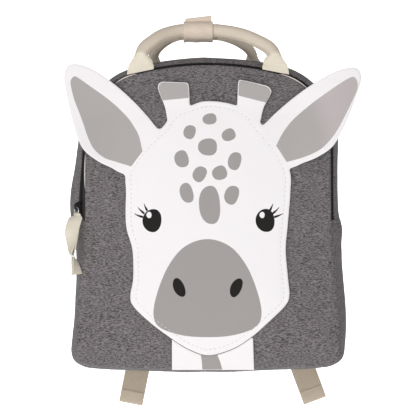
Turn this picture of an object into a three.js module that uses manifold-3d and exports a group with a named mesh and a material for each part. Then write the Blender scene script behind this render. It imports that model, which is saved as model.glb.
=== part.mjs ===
// Kids animal backpack: a D-shaped cloth bag with a giraffe's head sewn on the front.
// Millimetres, +Z up, the front faces -Y. The origin is the inside top of the grab handles,
// under their wrap, where a hook or a hand holds the bag.

import * as THREE from 'three';
import { mergeVertices } from 'three/addons/utils/BufferGeometryUtils.js';
import Module from 'manifold-3d';

const wasm = await Module();
wasm.setup();

// Driving dimensions

const bagHeight = 303;         // front seam, from its crown to the base
const bagWidth = 263;          // front seam, across the lower sides
const waistWidth = 246;        // front seam, at the zip's ends, where the side cloth folds in
const shoulderWidth = 245;     // front seam, where the rounded top ends
const crownRadius = 290;       // gentle arch of the top
const cornerRadius = 68;       // rounded top corners
const baseCornerRadius = 13;
const baseRise = 3;            // the base edge lifts this much at its corners
const depthTop = 80;           // bag depth at the crown
const depthBase = 102;         // bag depth at the base
const backPlane = 44;          // the back seam, behind the hang point
const hangDrop = 23.5;         // from the hang point down to the front seam's crown
const clothWall = 2;
const seamGap = 0.3;           // between sewn pieces
const gussetBulge = 8;         // how far the side cloth rounds out past the seams
const baseBulge = 3.6;         // the same under the base, which is stiffer
const frontDome = 13;          // crown of the front panel
const backDome = 5;
const backPad = 8;             // thickness of the padded back

const zipWidth = 10;           // both tapes and the coil
const zipSink = 2.4;           // over the top, the tape lies this far below the cloth beside it
const zipSideSink = 0.9;       // and this far down the sides, where the gap stands open
const zipTape = 1.2;
const zipCoilWidth = 3.4;
const zipCoilHeight = 1;
const zipEndDrop = 156.5;      // from the crown down to both ends of the zip

const faceHeight = 254;
const faceWidth = 165;
const faceTopDrop = 36;        // from the crown down to the top of the forehead
const faceShift = 0.5;         // the face sits a little right of the bag's middle
const earLength = 112;
const earWidth = 68;
const hornHeight = 40;
const hornWidth = 36;
const hornShift = 5;           // the horns' own middle, right of the face's middle
const hornSpread = 37.5;       // from there to each horn's centre line
const appliqueWall = 2.4;
const appliqueGap = 0.5;       // from the front panel to the head
const earLift = 13;            // the free ears stand this far off the bag at their tips
const earCurl = 4;             // the ears' edges turn forward
const hornLift = 4;

const neckWidth = 81;
const neckShift = 4.5;
const neckWall = 1.6;

const frontRoll = 13.5;        // diameter of the rolled front handle
const rearRoll = 10;
const frontHandleSpan = 135;   // between the middles of the sewn ends
const rearHandleSpan = 100;
const rearHandleShift = -3;    // the rear handle's ends sit this far right of the middle
const frontHandleRise = 42.6;
const rearHandleRise = 34.8;
const handleEndWidth = 27;     // flat sewn end of the webbing
const handleEndWall = 3;
const rollDistance = 12.8;     // between the two rolls, front to back, where the wrap holds them
const wrapWidth = 27.5;
const wrapWall = 1.6;
const wrapShift = -9.8;        // the wrap has slid to the left
const wrapTabHeight = 6.5;
const wrapTabWall = 2.4;

const sliderHeight = 9;
const sliderWidth = 7;
const sliderWall = 3;
const sliderLift = 1.1;        // its middle stands this far off the coil
const bridgeWall = 1;
const sliderDrop = 141.5;      // from the crown down to the slider
const ringRadius = 3.6;
const ringWire = 1.2;          // wire diameter
const pullLength = 60;
const pullWidth = 14;
const pullWall = 1.2;          // one layer of the folded pull

const webbingWidth = 24;
const webbingWall = 1.6;
const strapWidth = 46;
const strapWall = 9;
const strapTopSpread = 62;     // between the straps' middles at the top
const strapTopDrop = 22;       // from the crown down to the straps' sewn ends
const strapBow = 26;           // how far a strap arches away from the back
const buckleHeight = 26;
const buckleBar = 3;
const buckleDrop = 210;        // from the crown down to the buckles' middles
const buckleSpread = 120;      // between the buckles' middles
const tailSpread = 184;        // between the free ends of the webbing
const tailReach = 36;          // how far those ends hang below the base
const anchorSpread = 196;      // between the webbing's sewn ends at the base
const anchorRise = 12;         // those ends above the base
const hemLength = 11;          // folded end of the webbing

// Puckers of the side cloth: which side (1 right, -1 left), how far down the seam's height,
// how far back in the depth, and then how far out and how wide, as shares of the bulge and height
const sidePuckers = [
  { side: -1, down: 0.22, back: 0.3, out: -0.25, wide: 0.07 },
  { side: -1, down: 0.46, back: 0.3, out: 1.07, wide: 0.13 },
  { side: -1, down: 0.8, back: 0.4, out: -0.6, wide: 0.18 },
  { side: 1, down: 0.4, back: 0.25, out: -0.08, wide: 0.13 },
  { side: 1, down: 0.54, back: 0.3, out: 0.48, wide: 0.04 },
  { side: 1, down: 0.6, back: 0.3, out: 0.33, wide: 0.06 },
  { side: 1, down: 0.97, back: 0.35, out: -0.45, wide: 0.06 },
];

// Dents of the front cloth: place as shares of the half width and height, depth of the dome, size
const frontDents = [
  { across: -0.78, down: 0.62, deep: 0.16, wide: 0.16 },
  { across: 0.8, down: 0.56, deep: 0.14, wide: 0.14 },
  { across: -0.7, down: 0.9, deep: 0.12, wide: 0.12 },
  { across: 0.66, down: 0.92, deep: 0.14, wide: 0.13 },
  { across: 0.1, down: 0.04, deep: 0.08, wide: 0.14 },
];

// The face from its top down: half widths left and right as shares of half the face's width
const faceRows = [
  { down: 0.003, left: 0.09, right: 0.14 },
  { down: 0.016, left: 0.2, right: 0.32 },
  { down: 0.045, left: 0.42, right: 0.5 },
  { down: 0.104, left: 0.56, right: 0.64 },
  { down: 0.18, left: 0.8, right: 0.84 },
  { down: 0.275, left: 0.99, right: 0.985 },
  { down: 0.36, left: 1.0, right: 0.992 },
  { down: 0.49, left: 0.998, right: 0.96 },
  { down: 0.585, left: 0.922, right: 0.936 },
  { down: 0.695, left: 0.912, right: 0.963 },
  { down: 0.765, left: 0.946, right: 0.98 },
  { down: 0.807, left: 0.91, right: 0.925 },
  { down: 0.87, left: 0.7, right: 0.725 },
  { down: 0.93, left: 0.455, right: 0.515 },
  { down: 0.976, left: 0.24, right: 0.285 },
];

// An ear from its root to its tip: edges above and below its axis, as shares of its width
const earRows = [
  { along: -0.06, above: 0.34, below: 0.38 },
  { along: 0.1, above: 0.385, below: 0.5 },
  { along: 0.22, above: 0.4, below: 0.57 },
  { along: 0.38, above: 0.4, below: 0.6 },
  { along: 0.55, above: 0.38, below: 0.5 },
  { along: 0.72, above: 0.335, below: 0.35 },
  { along: 0.86, above: 0.27, below: 0.21 },
  { along: 0.97, above: 0.17, below: 0.08 },
];

// Where each ear grows, how it leans and its share of the width; the places are shares of half
// the face's width and of its height
const ears = [
  { side: -1, across: 0.8, down: 0.198, lean: 46.8, wide: 1.02 },
  { side: 1, across: 0.81, down: 0.173, lean: 40.4, wide: 0.94 },
];

// How much each horn's top falls away from the face's middle, as a share of its width there
const hornFall = { left: -0.04, right: 0.24 };

// A horn from its root up: edges towards and away from the face's middle
const hornRows = [
  { up: 0, inner: 0.4, outer: 0.24 },
  { up: 0.38, inner: 0.385, outer: 0.32 },
  { up: 0.7, inner: 0.37, outer: 0.47 },
  { up: 0.87, inner: 0.36, outer: 0.52 },
  { up: 0.97, inner: 0.34, outer: 0.46 },
  { up: 1, inner: 0.28, outer: 0.36 },
];

// Half of a grab handle from its sewn end to the wrap: across from the wrap's end to the middle
// of the sewn end, the rise, the lean from its own seam, and how far the webbing is rolled up
const handleRows = [
  { across: 1, rise: 0, lean: 0, rolled: 0 },
  { across: 0.99, rise: 0.18, lean: 0.01, rolled: 0.08 },
  { across: 1, rise: 0.33, lean: 0.05, rolled: 0.55 },
  { across: 0.95, rise: 0.5, lean: 0.15, rolled: 1 },
  { across: 0.82, rise: 0.66, lean: 0.3, rolled: 1 },
  { across: 0.62, rise: 0.805, lean: 0.5, rolled: 1 },
  { across: 0.4, rise: 0.905, lean: 0.72, rolled: 1 },
  { across: 0.2, rise: 0.97, lean: 0.9, rolled: 1 },
  { across: 0.06, rise: 0.996, lean: 0.99, rolled: 1 },
  { across: 0, rise: 1, lean: 1, rolled: 1 },
];

// The zip pull from its ring down: drifts right and forward as shares of its length, and its
// turn in degrees from facing the front
const pullRows = [
  { down: 0.05, right: 0.01, forward: 0.02, turn: 50 },
  { down: 0.1, right: -0.01, forward: 0.09, turn: 26 },
  { down: 0.2, right: -0.055, forward: 0.14, turn: 6 },
  { down: 0.32, right: -0.07, forward: 0.175, turn: 0 },
  { down: 0.46, right: -0.065, forward: 0.21, turn: 26 },
  { down: 0.6, right: -0.055, forward: 0.235, turn: 54 },
  { down: 0.71, right: -0.045, forward: 0.245, turn: 80 },
  { down: 0.8, right: -0.035, forward: 0.25, turn: 100 },
  { down: 0.9, right: -0.015, forward: 0.255, turn: 118 },
  { down: 1, right: 0, forward: 0.255, turn: 130 },
];

// A padded strap from its sewn end down: sideways place from top to buckle, bow, and width
const strapRows = [
  { down: 0, across: 0, bow: 0, wide: 0.8 },
  { down: 0.08, across: 0.02, bow: 0.22, wide: 0.92 },
  { down: 0.22, across: 0.1, bow: 0.62, wide: 1 },
  { down: 0.4, across: 0.3, bow: 0.95, wide: 1 },
  { down: 0.58, across: 0.55, bow: 1, wide: 1 },
  { down: 0.76, across: 0.8, bow: 0.8, wide: 0.96 },
  { down: 0.9, across: 0.95, bow: 0.5, wide: 0.82 },
  { down: 1, across: 1, bow: 0.36, wide: 0.6 },
];

// Each side's buckle and free webbing end, as shares of the spreads and of the ends' reach
const strapSides = [
  { name: 'left', side: -1, buckle: 0.92, tail: 0.845, reach: 1 },
  { name: 'right', side: 1, buckle: 1.1, tail: 1.155, reach: 0.92 },
];

// Colours and finishes

const finishes = {
  marl: { color: 0x6f6b6c, roughness: 0.95, metalness: 0 },
  white: { color: 0xfbf8f9, roughness: 0.85, metalness: 0 },
  cream: { color: 0xe6dac6, roughness: 0.9, metalness: 0 },
  wrap: { color: 0xd9c8b4, roughness: 0.9, metalness: 0 },
  beige: { color: 0xb4a68f, roughness: 0.9, metalness: 0 },
  black: { color: 0x17171a, roughness: 0.5, metalness: 0 },
  steel: { color: 0xb9bbbd, roughness: 0.3, metalness: 1 },
};

// Places that follow from the dimensions

const crownZ = -hangDrop;
const baseZ = crownZ - bagHeight;
const halfTop = shoulderWidth / 2;
const halfWaist = waistWidth / 2;
const halfBase = bagWidth / 2;
const zipEndZ = crownZ - zipEndDrop;

// Faceting

const seamSteps = 64;
const panelRings = 6;
const stripSteps = 5;
const stripSections = 44;      // along each strip of the side
const rollSides = 10;
const cellSize = 14;           // grid of the curved plates on the front

// Geometry from points and triangles, with its faces turned outwards

function closedSolid(points, triangles) {
  let volume = 0;
  for (const [a, b, c] of triangles) {
    volume += points[a].dot(new THREE.Vector3().crossVectors(points[b], points[c]));
  }
  const faces = volume < 0 ? triangles.map(([a, b, c]) => [a, c, b]) : triangles;
  const geometry = new THREE.BufferGeometry();
  geometry.setAttribute('position', new THREE.Float32BufferAttribute(points.flatMap((p) => p.toArray()), 3));
  geometry.setIndex(faces.flat());
  geometry.computeVertexNormals();
  return geometry;
}

// A plate between two surfaces over a grid; a ring closes on itself in its first direction

function plate(across, along, outer, inner, ring = false) {
  const points = [];
  const triangles = [];
  const columns = ring ? across : across + 1;
  const index = (i, j, side) => ((i % columns) * (along + 1) + j) * 2 + side;
  for (let i = 0; i < columns; i += 1) {
    for (let j = 0; j <= along; j += 1) {
      points.push(outer(i / across, j / along), inner(i / across, j / along));
    }
  }
  const quad = (a, b, c, d) => triangles.push([a, b, c], [a, c, d]);
  for (let i = 0; i < across; i += 1) {
    for (let j = 0; j < along; j += 1) {
      quad(index(i, j, 0), index(i + 1, j, 0), index(i + 1, j + 1, 0), index(i, j + 1, 0));
      quad(index(i, j, 1), index(i, j + 1, 1), index(i + 1, j + 1, 1), index(i + 1, j, 1));
    }
    quad(index(i, 0, 0), index(i, 0, 1), index(i + 1, 0, 1), index(i + 1, 0, 0));
    quad(index(i, along, 0), index(i + 1, along, 0), index(i + 1, along, 1), index(i, along, 1));
  }
  if (!ring) {
    for (let j = 0; j < along; j += 1) {
      quad(index(0, j, 0), index(0, j + 1, 0), index(0, j + 1, 1), index(0, j, 1));
      quad(index(across, j, 0), index(across, j, 1), index(across, j + 1, 1), index(across, j + 1, 0));
    }
  }
  return closedSolid(points, triangles);
}

// A disc between two surfaces, in rings round its middle

function disc(around, rings, outer, inner) {
  const points = [outer(0, 0), inner(0, 0)];
  const triangles = [];
  for (let ring = 1; ring <= rings; ring += 1) {
    for (let i = 0; i < around; i += 1) {
      points.push(outer(i / around, ring / rings), inner(i / around, ring / rings));
    }
  }
  const index = (ring, i, side) => (ring === 0 ? side : 2 + ((ring - 1) * around + (i % around)) * 2 + side);
  for (let i = 0; i < around; i += 1) {
    triangles.push([0, index(1, i, 0), index(1, i + 1, 0)], [1, index(1, i + 1, 1), index(1, i, 1)]);
    for (let ring = 1; ring < rings; ring += 1) {
      const [a, b] = [index(ring, i, 0), index(ring + 1, i, 0)];
      const [c, d] = [index(ring + 1, i + 1, 0), index(ring, i + 1, 0)];
      triangles.push([a, b, c], [a, c, d], [a + 1, c + 1, b + 1], [a + 1, d + 1, c + 1]);
    }
    const [a, b] = [index(rings, i, 0), index(rings, i + 1, 0)];
    triangles.push([a, a + 1, b + 1], [a, b + 1, b]);
  }
  return closedSolid(points, triangles);
}

// A body through a row of equal loops, closed by a fan at each end; opposite sides are cut along
// the same diagonal, so that a thin twisted band keeps its wall

function loft(loops) {
  const sides = loops[0].length;
  const points = loops.flat();
  const triangles = [];
  for (let k = 0; k + 1 < loops.length; k += 1) {
    for (let i = 0; i < sides; i += 1) {
      const a = k * sides + i;
      const b = k * sides + ((i + 1) % sides);
      if (i < sides / 2) triangles.push([a, b, b + sides], [a, b + sides, a + sides]);
      else triangles.push([a, b, a + sides], [b, b + sides, a + sides]);
    }
  }
  const middle = (loop) => loop.reduce((sum, p) => sum.add(p), new THREE.Vector3()).divideScalar(sides);
  const last = (loops.length - 1) * sides;
  points.push(middle(loops[0]), middle(loops[loops.length - 1]));
  for (let i = 0; i < sides; i += 1) {
    const next = (i + 1) % sides;
    triangles.push([points.length - 2, next, i], [points.length - 1, last + i, last + next]);
  }
  return closedSolid(points, triangles);
}

// Sections along a path: each has a place, a width, a wall and perhaps a direction across,
// which else stays square to the way from front to back

const backwards = new THREE.Vector3(0, 1, 0);

function sweep(sections, sides) {
  const loops = sections.map((section, k) => {
    const before = sections[Math.max(k - 1, 0)].place;
    const after = sections[Math.min(k + 1, sections.length - 1)].place;
    const tangent = section.along ?? new THREE.Vector3().subVectors(after, before).normalize();
    const wanted = section.across ?? new THREE.Vector3().crossVectors(backwards, tangent);
    const across = wanted.clone().addScaledVector(tangent, -wanted.dot(tangent)).normalize();
    const outward = new THREE.Vector3().crossVectors(tangent, across);
    const loop = [];
    for (let i = 0; i < sides; i += 1) {
      const angle = (2 * Math.PI * (i + 0.5)) / sides;
      const square = sides === 4 ? Math.SQRT2 : 1;
      loop.push(
        section.place.clone()
          .addScaledVector(across, (Math.cos(angle) * square * section.width) / 2)
          .addScaledVector(outward, (Math.sin(angle) * square * section.wall) / 2),
      );
    }
    return loop;
  });
  return loft(loops);
}

// Boolean work on closed meshes

function toSolid(geometry) {
  const bare = geometry.clone();
  bare.deleteAttribute('normal');
  bare.deleteAttribute('uv');
  const merged = mergeVertices(bare, 1e-4);
  return new wasm.Manifold(new wasm.Mesh({
    numProp: 3,
    vertProperties: new Float32Array(merged.attributes.position.array),
    triVerts: new Uint32Array(merged.index.array),
  }));
}

function fromSolid(solid) {
  const mesh = solid.getMesh();
  const geometry = new THREE.BufferGeometry();
  geometry.setAttribute('position', new THREE.BufferAttribute(new Float32Array(mesh.vertProperties), 3));
  geometry.setIndex(Array.from(mesh.triVerts));
  geometry.computeVertexNormals();
  return geometry;
}

function joined(...geometries) {
  return fromSolid(geometries.map(toSolid).reduce((sum, solid) => sum.add(solid)));
}

// Small helpers

const lerp = THREE.MathUtils.lerp;
const smooth = THREE.MathUtils.smoothstep;
const radians = THREE.MathUtils.degToRad;
const point = (x, y, z) => new THREE.Vector3(x, y, z);

// The rows of a table joined by straight steps, read at one value of its first column

function readRows(rows, key, value, column) {
  const after = rows.findIndex((row) => row[key] >= value);
  if (after === 0) return rows[0][column];
  if (after < 0) return rows[rows.length - 1][column];
  const [a, b] = [rows[after - 1], rows[after]];
  return lerp(a[column], b[column], (value - a[key]) / (b[key] - a[key]));
}

// The bag's seam line, seen from the front, counter-clockwise from the middle of the base

function makeSeam() {
  const cornerX = halfTop - cornerRadius;
  const cornerRise = Math.sqrt((crownRadius - cornerRadius) ** 2 - cornerX ** 2);
  const cornerZ = crownZ - crownRadius + cornerRise;
  const turn = Math.atan2(cornerRise, cornerX);
  const edgeZ = baseZ + baseRise;
  const hipZ = lerp(edgeZ, zipEndZ, 0.55);
  const waistZ = lerp(edgeZ, zipEndZ, 0.72);
  const flatX = halfBase * 0.66;
  const seam = new THREE.Path();
  seam.moveTo(0, baseZ);
  seam.quadraticCurveTo(flatX, baseZ, halfBase - baseCornerRadius, edgeZ);
  seam.quadraticCurveTo(halfBase, edgeZ, halfBase, edgeZ + baseCornerRadius);
  seam.bezierCurveTo(halfBase, hipZ, halfWaist, waistZ, halfWaist, zipEndZ);
  seam.lineTo(halfTop, cornerZ);
  seam.absarc(cornerX, cornerZ, cornerRadius, 0, turn, false);
  seam.absarc(0, crownZ - crownRadius, crownRadius, turn, Math.PI - turn, false);
  seam.absarc(-cornerX, cornerZ, cornerRadius, Math.PI - turn, Math.PI, false);
  seam.lineTo(-halfWaist, zipEndZ);
  seam.bezierCurveTo(-halfWaist, waistZ, -halfBase, hipZ, -halfBase, edgeZ + baseCornerRadius);
  seam.quadraticCurveTo(-halfBase, edgeZ, -halfBase + baseCornerRadius, edgeZ);
  seam.quadraticCurveTo(-flatX, baseZ, 0, baseZ);
  return seam;
}

const seam = makeSeam();
const seamLength = seam.getLength();
const seamMiddle = new THREE.Vector2(0, baseZ + bagHeight * 0.46);

const seamPoint = (share) => seam.getPointAt(THREE.MathUtils.euclideanModulo(share, 1));

function seamNormal(share) {
  const step = 0.002;
  const along = seamPoint(share + step).sub(seamPoint(share - step)).normalize();
  return new THREE.Vector2(along.y, -along.x);
}

// Share of the seam at a height on the right side; the left side's is its negative

function seamShareAt(height) {
  let [low, high] = [0, 0.5];
  for (let i = 0; i < 40; i += 1) {
    const middle = (low + high) / 2;
    if (seamPoint(middle).y < height) low = middle;
    else high = middle;
  }
  return (low + high) / 2;
}

const depthAt = (z) => lerp(depthTop, depthBase, (crownZ - z) / bagHeight);
const frontPlane = (z) => backPlane - depthAt(z);

// Side cloth: how far it rounds out past the seam at a share of the seam and of the depth

function bulgeAt(share, back) {
  const place = seamPoint(share);
  let swell = 1;
  for (const pucker of sidePuckers) {
    const down = (crownZ - place.y) / bagHeight - pucker.down;
    const inDepth = (back - pucker.back) * 0.5;
    const near = Math.exp(-(down ** 2 + (inDepth * 0.5) ** 2) / pucker.wide ** 2);
    if (place.x * pucker.side > 0) swell += pucker.out * near;
  }
  const most = lerp(gussetBulge, baseBulge, smooth(-seamNormal(share).y, 0.3, 1));
  return most * swell * Math.sin(Math.PI * THREE.MathUtils.clamp(back, 0, 1)) ** 0.7;
}

function sidePoint(share, inDepth, sink) {
  const place = seamPoint(share);
  const normal = seamNormal(share);
  const depth = depthAt(place.y);
  const out = bulgeAt(share, inDepth / depth) - sink;
  return point(place.x + normal.x * out, frontPlane(place.y) + inDepth, place.y + normal.y * out);
}

// Front cloth: how far a place on the front lies from the middle to the seam

const seamReach = [];
for (let i = 0; i <= 360; i += 1) {
  const spoke = seamPoint(i / 360).sub(seamMiddle);
  const angle = THREE.MathUtils.euclideanModulo(spoke.angle() + Math.PI / 2, 2 * Math.PI);
  seamReach.push({ angle, far: spoke.length() });
}
seamReach.sort((a, b) => a.angle - b.angle);

function reach(x, z) {
  const spoke = new THREE.Vector2(x, z).sub(seamMiddle);
  if (spoke.length() < 1e-6) return 0;
  const angle = THREE.MathUtils.euclideanModulo(spoke.angle() + Math.PI / 2, 2 * Math.PI);
  return spoke.length() / readRows(seamReach, 'angle', angle, 'far');
}

const domePower = 2.6;
const domeAt = (share) => 1 - share ** domePower;

function dentAt(x, z) {
  return frontDents.reduce((sum, dent) => {
    const across = (x / halfBase - dent.across) / dent.wide;
    const down = ((crownZ - z) / bagHeight - dent.down) / dent.wide;
    return sum + dent.deep * Math.exp(-(across ** 2) - down ** 2);
  }, 0);
}

// Outer face of the front panel; it is smaller than the seam's plane, as the front is -Y

function frontFace(x, z) {
  const share = Math.min(reach(x, z), 1);
  const crown = domeAt(share) - dentAt(x, z) * (1 - share ** 6);
  return frontPlane(z) - seamGap - clothWall - frontDome * crown;
}

function frontPanel() {
  const at = (around, share) => seamPoint(around).sub(seamMiddle).multiplyScalar(share).add(seamMiddle);
  const place = (around, ring, wall) => {
    const share = 1 - (1 - ring) ** 1.35;
    const spot = at(around, share);
    return point(spot.x, frontFace(spot.x, spot.y) + wall, spot.y);
  };
  return disc(seamSteps, panelRings, (u, v) => place(u, v, 0), (u, v) => place(u, v, clothWall));
}

// Inner and outer face of the padded back

const backInner = (x, z) => backPlane + seamGap + backDome * domeAt(Math.min(reach(x, z), 1));

function backOuter(x, z) {
  const crown = domeAt(Math.min(reach(x, z), 1));
  return backInner(x, z) + lerp(clothWall * 2, backPad, crown ** 0.4);
}

function backPanel() {
  const at = (around, share) => seamPoint(around).sub(seamMiddle).multiplyScalar(share).add(seamMiddle);
  const place = (around, ring, face) => {
    const spot = at(around, 1 - (1 - ring) ** 1.35);
    return point(spot.x, face(spot.x, spot.y), spot.y);
  };
  return disc(seamSteps, panelRings - 1, (u, v) => place(u, v, backOuter), (u, v) => place(u, v, backInner));
}

// Strips of the side: from one share of the seam to another, between two depths

function sideStrip(from, to, steps, front, back) {
  const place = (u, v, sink) => {
    const share = lerp(from, to, u);
    const depth = depthAt(seamPoint(share).y);
    return sidePoint(share, lerp(front, depth - back, v), sink);
  };
  return plate(steps, stripSteps, (u, v) => place(u, v, 0), (u, v) => place(u, v, clothWall));
}

const zipEndShare = seamShareAt(zipEndZ);
const endGap = seamGap / 2 / seamLength;

function upperGusset() {
  return sideStrip(zipEndShare + endGap, 1 - zipEndShare - endGap, stripSections, zipWidth + seamGap, 0);
}

function lowerGusset() {
  return sideStrip(-zipEndShare + endGap, zipEndShare - endGap, stripSections, 0, 0);
}

// The zip: two tapes and the coil between them, as one band sunk below the cloth

const zipSinkAt = (share) => lerp(zipSideSink, zipSink, smooth(seamNormal(share).y, 0.2, 0.9));

function zipBand() {
  const profile = [
    { at: 0, high: 0 },
    { at: 0.5 - (0.7 * zipCoilWidth) / zipWidth, high: 0 },
    { at: 0.5 - (0.35 * zipCoilWidth) / zipWidth, high: zipCoilHeight },
    { at: 0.5 + (0.35 * zipCoilWidth) / zipWidth, high: zipCoilHeight },
    { at: 0.5 + (0.7 * zipCoilWidth) / zipWidth, high: 0 },
    { at: 1, high: 0 },
  ];
  const steps = profile.length - 1;
  const place = (u, v, wall) => {
    const row = profile[Math.round(v * steps)];
    const share = lerp(zipEndShare + endGap, 1 - zipEndShare - endGap, u);
    const inDepth = lerp(seamGap, zipWidth, row.at);
    return sidePoint(share, inDepth, zipSinkAt(share) + wall - (wall > 0 ? 0 : row.high));
  };
  return plate(stripSections, steps, (u, v) => place(u, v, 0), (u, v) => place(u, v, zipTape));
}

// The head's outline as curves through the tables' rows, seen from the front

const faceX = faceShift;
const faceZ = crownZ - faceTopDrop;

function curveShape(corners) {
  const shape = new THREE.Shape();
  shape.moveTo(corners[0].x, corners[0].y);
  shape.splineThru(corners.slice(1));
  return new THREE.Shape(shape.getPoints(2).slice(0, -1));
}

function faceShape() {
  const place = (row, side) => {
    const half = ((side < 0 ? row.left : row.right) * faceWidth) / 2;
    return new THREE.Vector2(faceX + side * half, faceZ - row.down * faceHeight);
  };
  const right = faceRows.map((row) => place(row, 1));
  const left = faceRows.map((row) => place(row, -1)).reverse();
  const top = new THREE.Vector2(faceX, faceZ);
  const chin = new THREE.Vector2(faceX, faceZ - faceHeight);
  return curveShape([top, ...right, chin, ...left, top]);
}

function earAxis(ear) {
  const rootX = faceX + (ear.side * ear.across * faceWidth) / 2;
  const root = new THREE.Vector2(rootX, faceZ - ear.down * faceHeight);
  const lean = radians(ear.lean);
  const along = new THREE.Vector2(ear.side * Math.cos(lean), Math.sin(lean));
  const above = new THREE.Vector2(-ear.side * Math.sin(lean), Math.cos(lean));
  return { root, along, above };
}

function earShape(ear) {
  const { root, along, above } = earAxis(ear);
  const place = (share, away) => root.clone()
    .addScaledVector(along, share * earLength)
    .addScaledVector(above, away * ear.wide * earWidth);
  const upper = earRows.map((row) => place(row.along, row.above));
  const lower = earRows.map((row) => place(row.along, -row.below)).reverse();
  const foot = place(-0.16, 0);
  return curveShape([foot, ...upper, place(1.01, 0.06), ...lower, foot]);
}

function hornShape(side) {
  const middle = faceX + hornShift + side * hornSpread;
  const rootZ = faceZ - 0.083 * faceHeight;
  const fall = side < 0 ? hornFall.left : hornFall.right;
  const place = (row, away) => new THREE.Vector2(
    middle + side * away * hornWidth,
    rootZ + row.up * (hornHeight - fall * away * hornWidth),
  );
  const outer = hornRows.map((row) => place(row, row.outer));
  const inner = hornRows.map((row) => place(row, -row.inner)).reverse();
  const foot = new THREE.Vector2(middle, rootZ - 0.25 * hornHeight);
  return new THREE.Shape([foot, ...outer, ...inner]);
}

// A prism of an outline seen from the front, right through the bag's depth

function prism(shape) {
  const far = depthBase;
  const geometry = new THREE.ExtrudeGeometry(shape, { depth: 2 * far, bevelEnabled: false, steps: 1 });
  geometry.rotateX(Math.PI / 2);
  geometry.translate(0, far, 0);
  return toSolid(geometry);
}

// Back face of the sewn head: on the panel inside, straight on past its edge, ears lifted

function headBack(x, z) {
  const share = reach(x, z);
  const held = 0.78;
  const slope = -domePower * held ** (domePower - 1);
  const crown = share < held ? domeAt(share) : domeAt(held) + slope * (share - held);
  const dent = dentAt(x, z) * (1 - Math.min(share, 1) ** 6);
  const side = x < faceX ? ears[0] : ears[1];
  const { root, above } = earAxis(side);
  const fromAxis = new THREE.Vector2(x, z).sub(root).dot(above) / earWidth;
  const free = smooth(Math.abs(x - faceX), faceWidth * 0.44, faceWidth * 0.9);
  const high = smooth(z, faceZ - faceHeight * 0.3, faceZ);
  const earOff = free * (earLift + earCurl * Math.min(4 * fromAxis ** 2, 1.6));
  const hornOff = hornLift * smooth(z, faceZ - 0.06 * faceHeight, faceZ + 0.1 * faceHeight) * (1 - free) * high;
  const panel = frontPlane(z) - seamGap - clothWall - frontDome * (crown - dent * (share < held ? 1 : 0.3));
  return panel - appliqueGap - earOff - hornOff;
}

function curvedPlate(low, high, back, wall) {
  const columns = Math.ceil((high.x - low.x) / cellSize);
  const rows = Math.ceil((high.y - low.y) / cellSize);
  const place = (u, v, proud) => {
    const [x, z] = [lerp(low.x, high.x, u), lerp(low.y, high.y, v)];
    return point(x, back(x, z) - proud, z);
  };
  return toSolid(plate(columns, rows, (u, v) => place(u, v, wall), (u, v) => place(u, v, 0)));
}

function headPrism() {
  const shapes = [faceShape(), ...ears.map(earShape), hornShape(-1), hornShape(1)];
  return shapes.map(prism).reduce((sum, solid) => sum.add(solid));
}

function giraffeHead() {
  const side = faceWidth * 0.5 + earLength;
  const low = new THREE.Vector2(faceX - side, faceZ - faceHeight - 3);
  const high = new THREE.Vector2(faceX + side, faceZ + hornHeight + 12);
  return fromSolid(curvedPlate(low, high, headBack, appliqueWall).intersect(headPrism()));
}

// The neck runs from under the chin to the base seam

function neckPanel() {
  const [left, right] = [neckShift - neckWidth / 2, neckShift + neckWidth / 2];
  const bottom = baseZ + 1.2;
  const top = faceZ - faceHeight * 0.8;
  const strip = prism(new THREE.Shape([
    new THREE.Vector2(left, bottom),
    new THREE.Vector2(right + 1, bottom),
    new THREE.Vector2(right, top),
    new THREE.Vector2(left, top),
  ]));
  const clearance = 2 * seamGap;
  const chin = new THREE.Shape(faceShape().getPoints(1).map((p) => new THREE.Vector2(p.x, p.y - clearance)));
  const back = (x, z) => frontFace(x, z) - seamGap;
  const low = new THREE.Vector2(left - 4, bottom - 4);
  const high = new THREE.Vector2(right + 4, top + 4);
  return fromSolid(curvedPlate(low, high, back, neckWall).intersect(strip).subtract(prism(chin)));
}

// A grab handle: flat at its two sewn ends on a panel's top edge, rolled in between

function grabHandle(span, shift, rise, roll, seamY, heldY) {
  const topZ = handleTop(span, rise);
  const sections = [];
  const add = (row, side) => {
    const endX = shift + side * span / 2;
    const slope = Math.asin(endX / crownRadius);
    const footZ = crownZ - crownRadius * (1 - Math.cos(slope)) + seamGap;
    const heldX = wrapShift + side * (wrapWidth / 2 + 1);
    const flat = 1 - row.rolled;
    sections.push({
      place: point(lerp(heldX, endX, row.across), lerp(seamY, heldY, row.lean), lerp(footZ, topZ, row.rise)),
      along: row.rise === 0 ? point(-side * Math.sin(slope), 0, -side * Math.cos(slope)) : undefined,
      width: lerp(roll, handleEndWidth * (roll / frontRoll) ** 0.5, flat),
      wall: lerp(roll, handleEndWall, flat ** 0.8),
    });
  };
  handleRows.forEach((row) => add(row, -1));
  [...handleRows].reverse().forEach((row) => add(row, 1));
  return sweep(sections, rollSides);
}

const frontHandleY = frontPlane(crownZ) - seamGap - handleEndWall / 2;
const rearHandleY = backPlane + seamGap + handleEndWall / 2 + 0.5;
const rollFrontY = -rollDistance / 2 - (frontRoll - rearRoll) / 4;
const rollRearY = rollFrontY + rollDistance;

const handleTop = (span, rise) => {
  const slope = Math.asin(span / 2 / crownRadius);
  return crownZ - crownRadius * (1 - Math.cos(slope)) + seamGap + rise;
};

const frontRollZ = handleTop(frontHandleSpan, frontHandleRise);
const rearRollZ = handleTop(rearHandleSpan, rearHandleRise);

function frontHandle() {
  return grabHandle(frontHandleSpan, 0, frontHandleRise, frontRoll, frontHandleY, rollFrontY);
}

function rearHandle() {
  return grabHandle(rearHandleSpan, rearHandleShift, rearHandleRise, rearRoll, rearHandleY, rollRearY);
}

// The wrap: a sleeve round both rolls, with its overlapping end standing up on top

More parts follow.
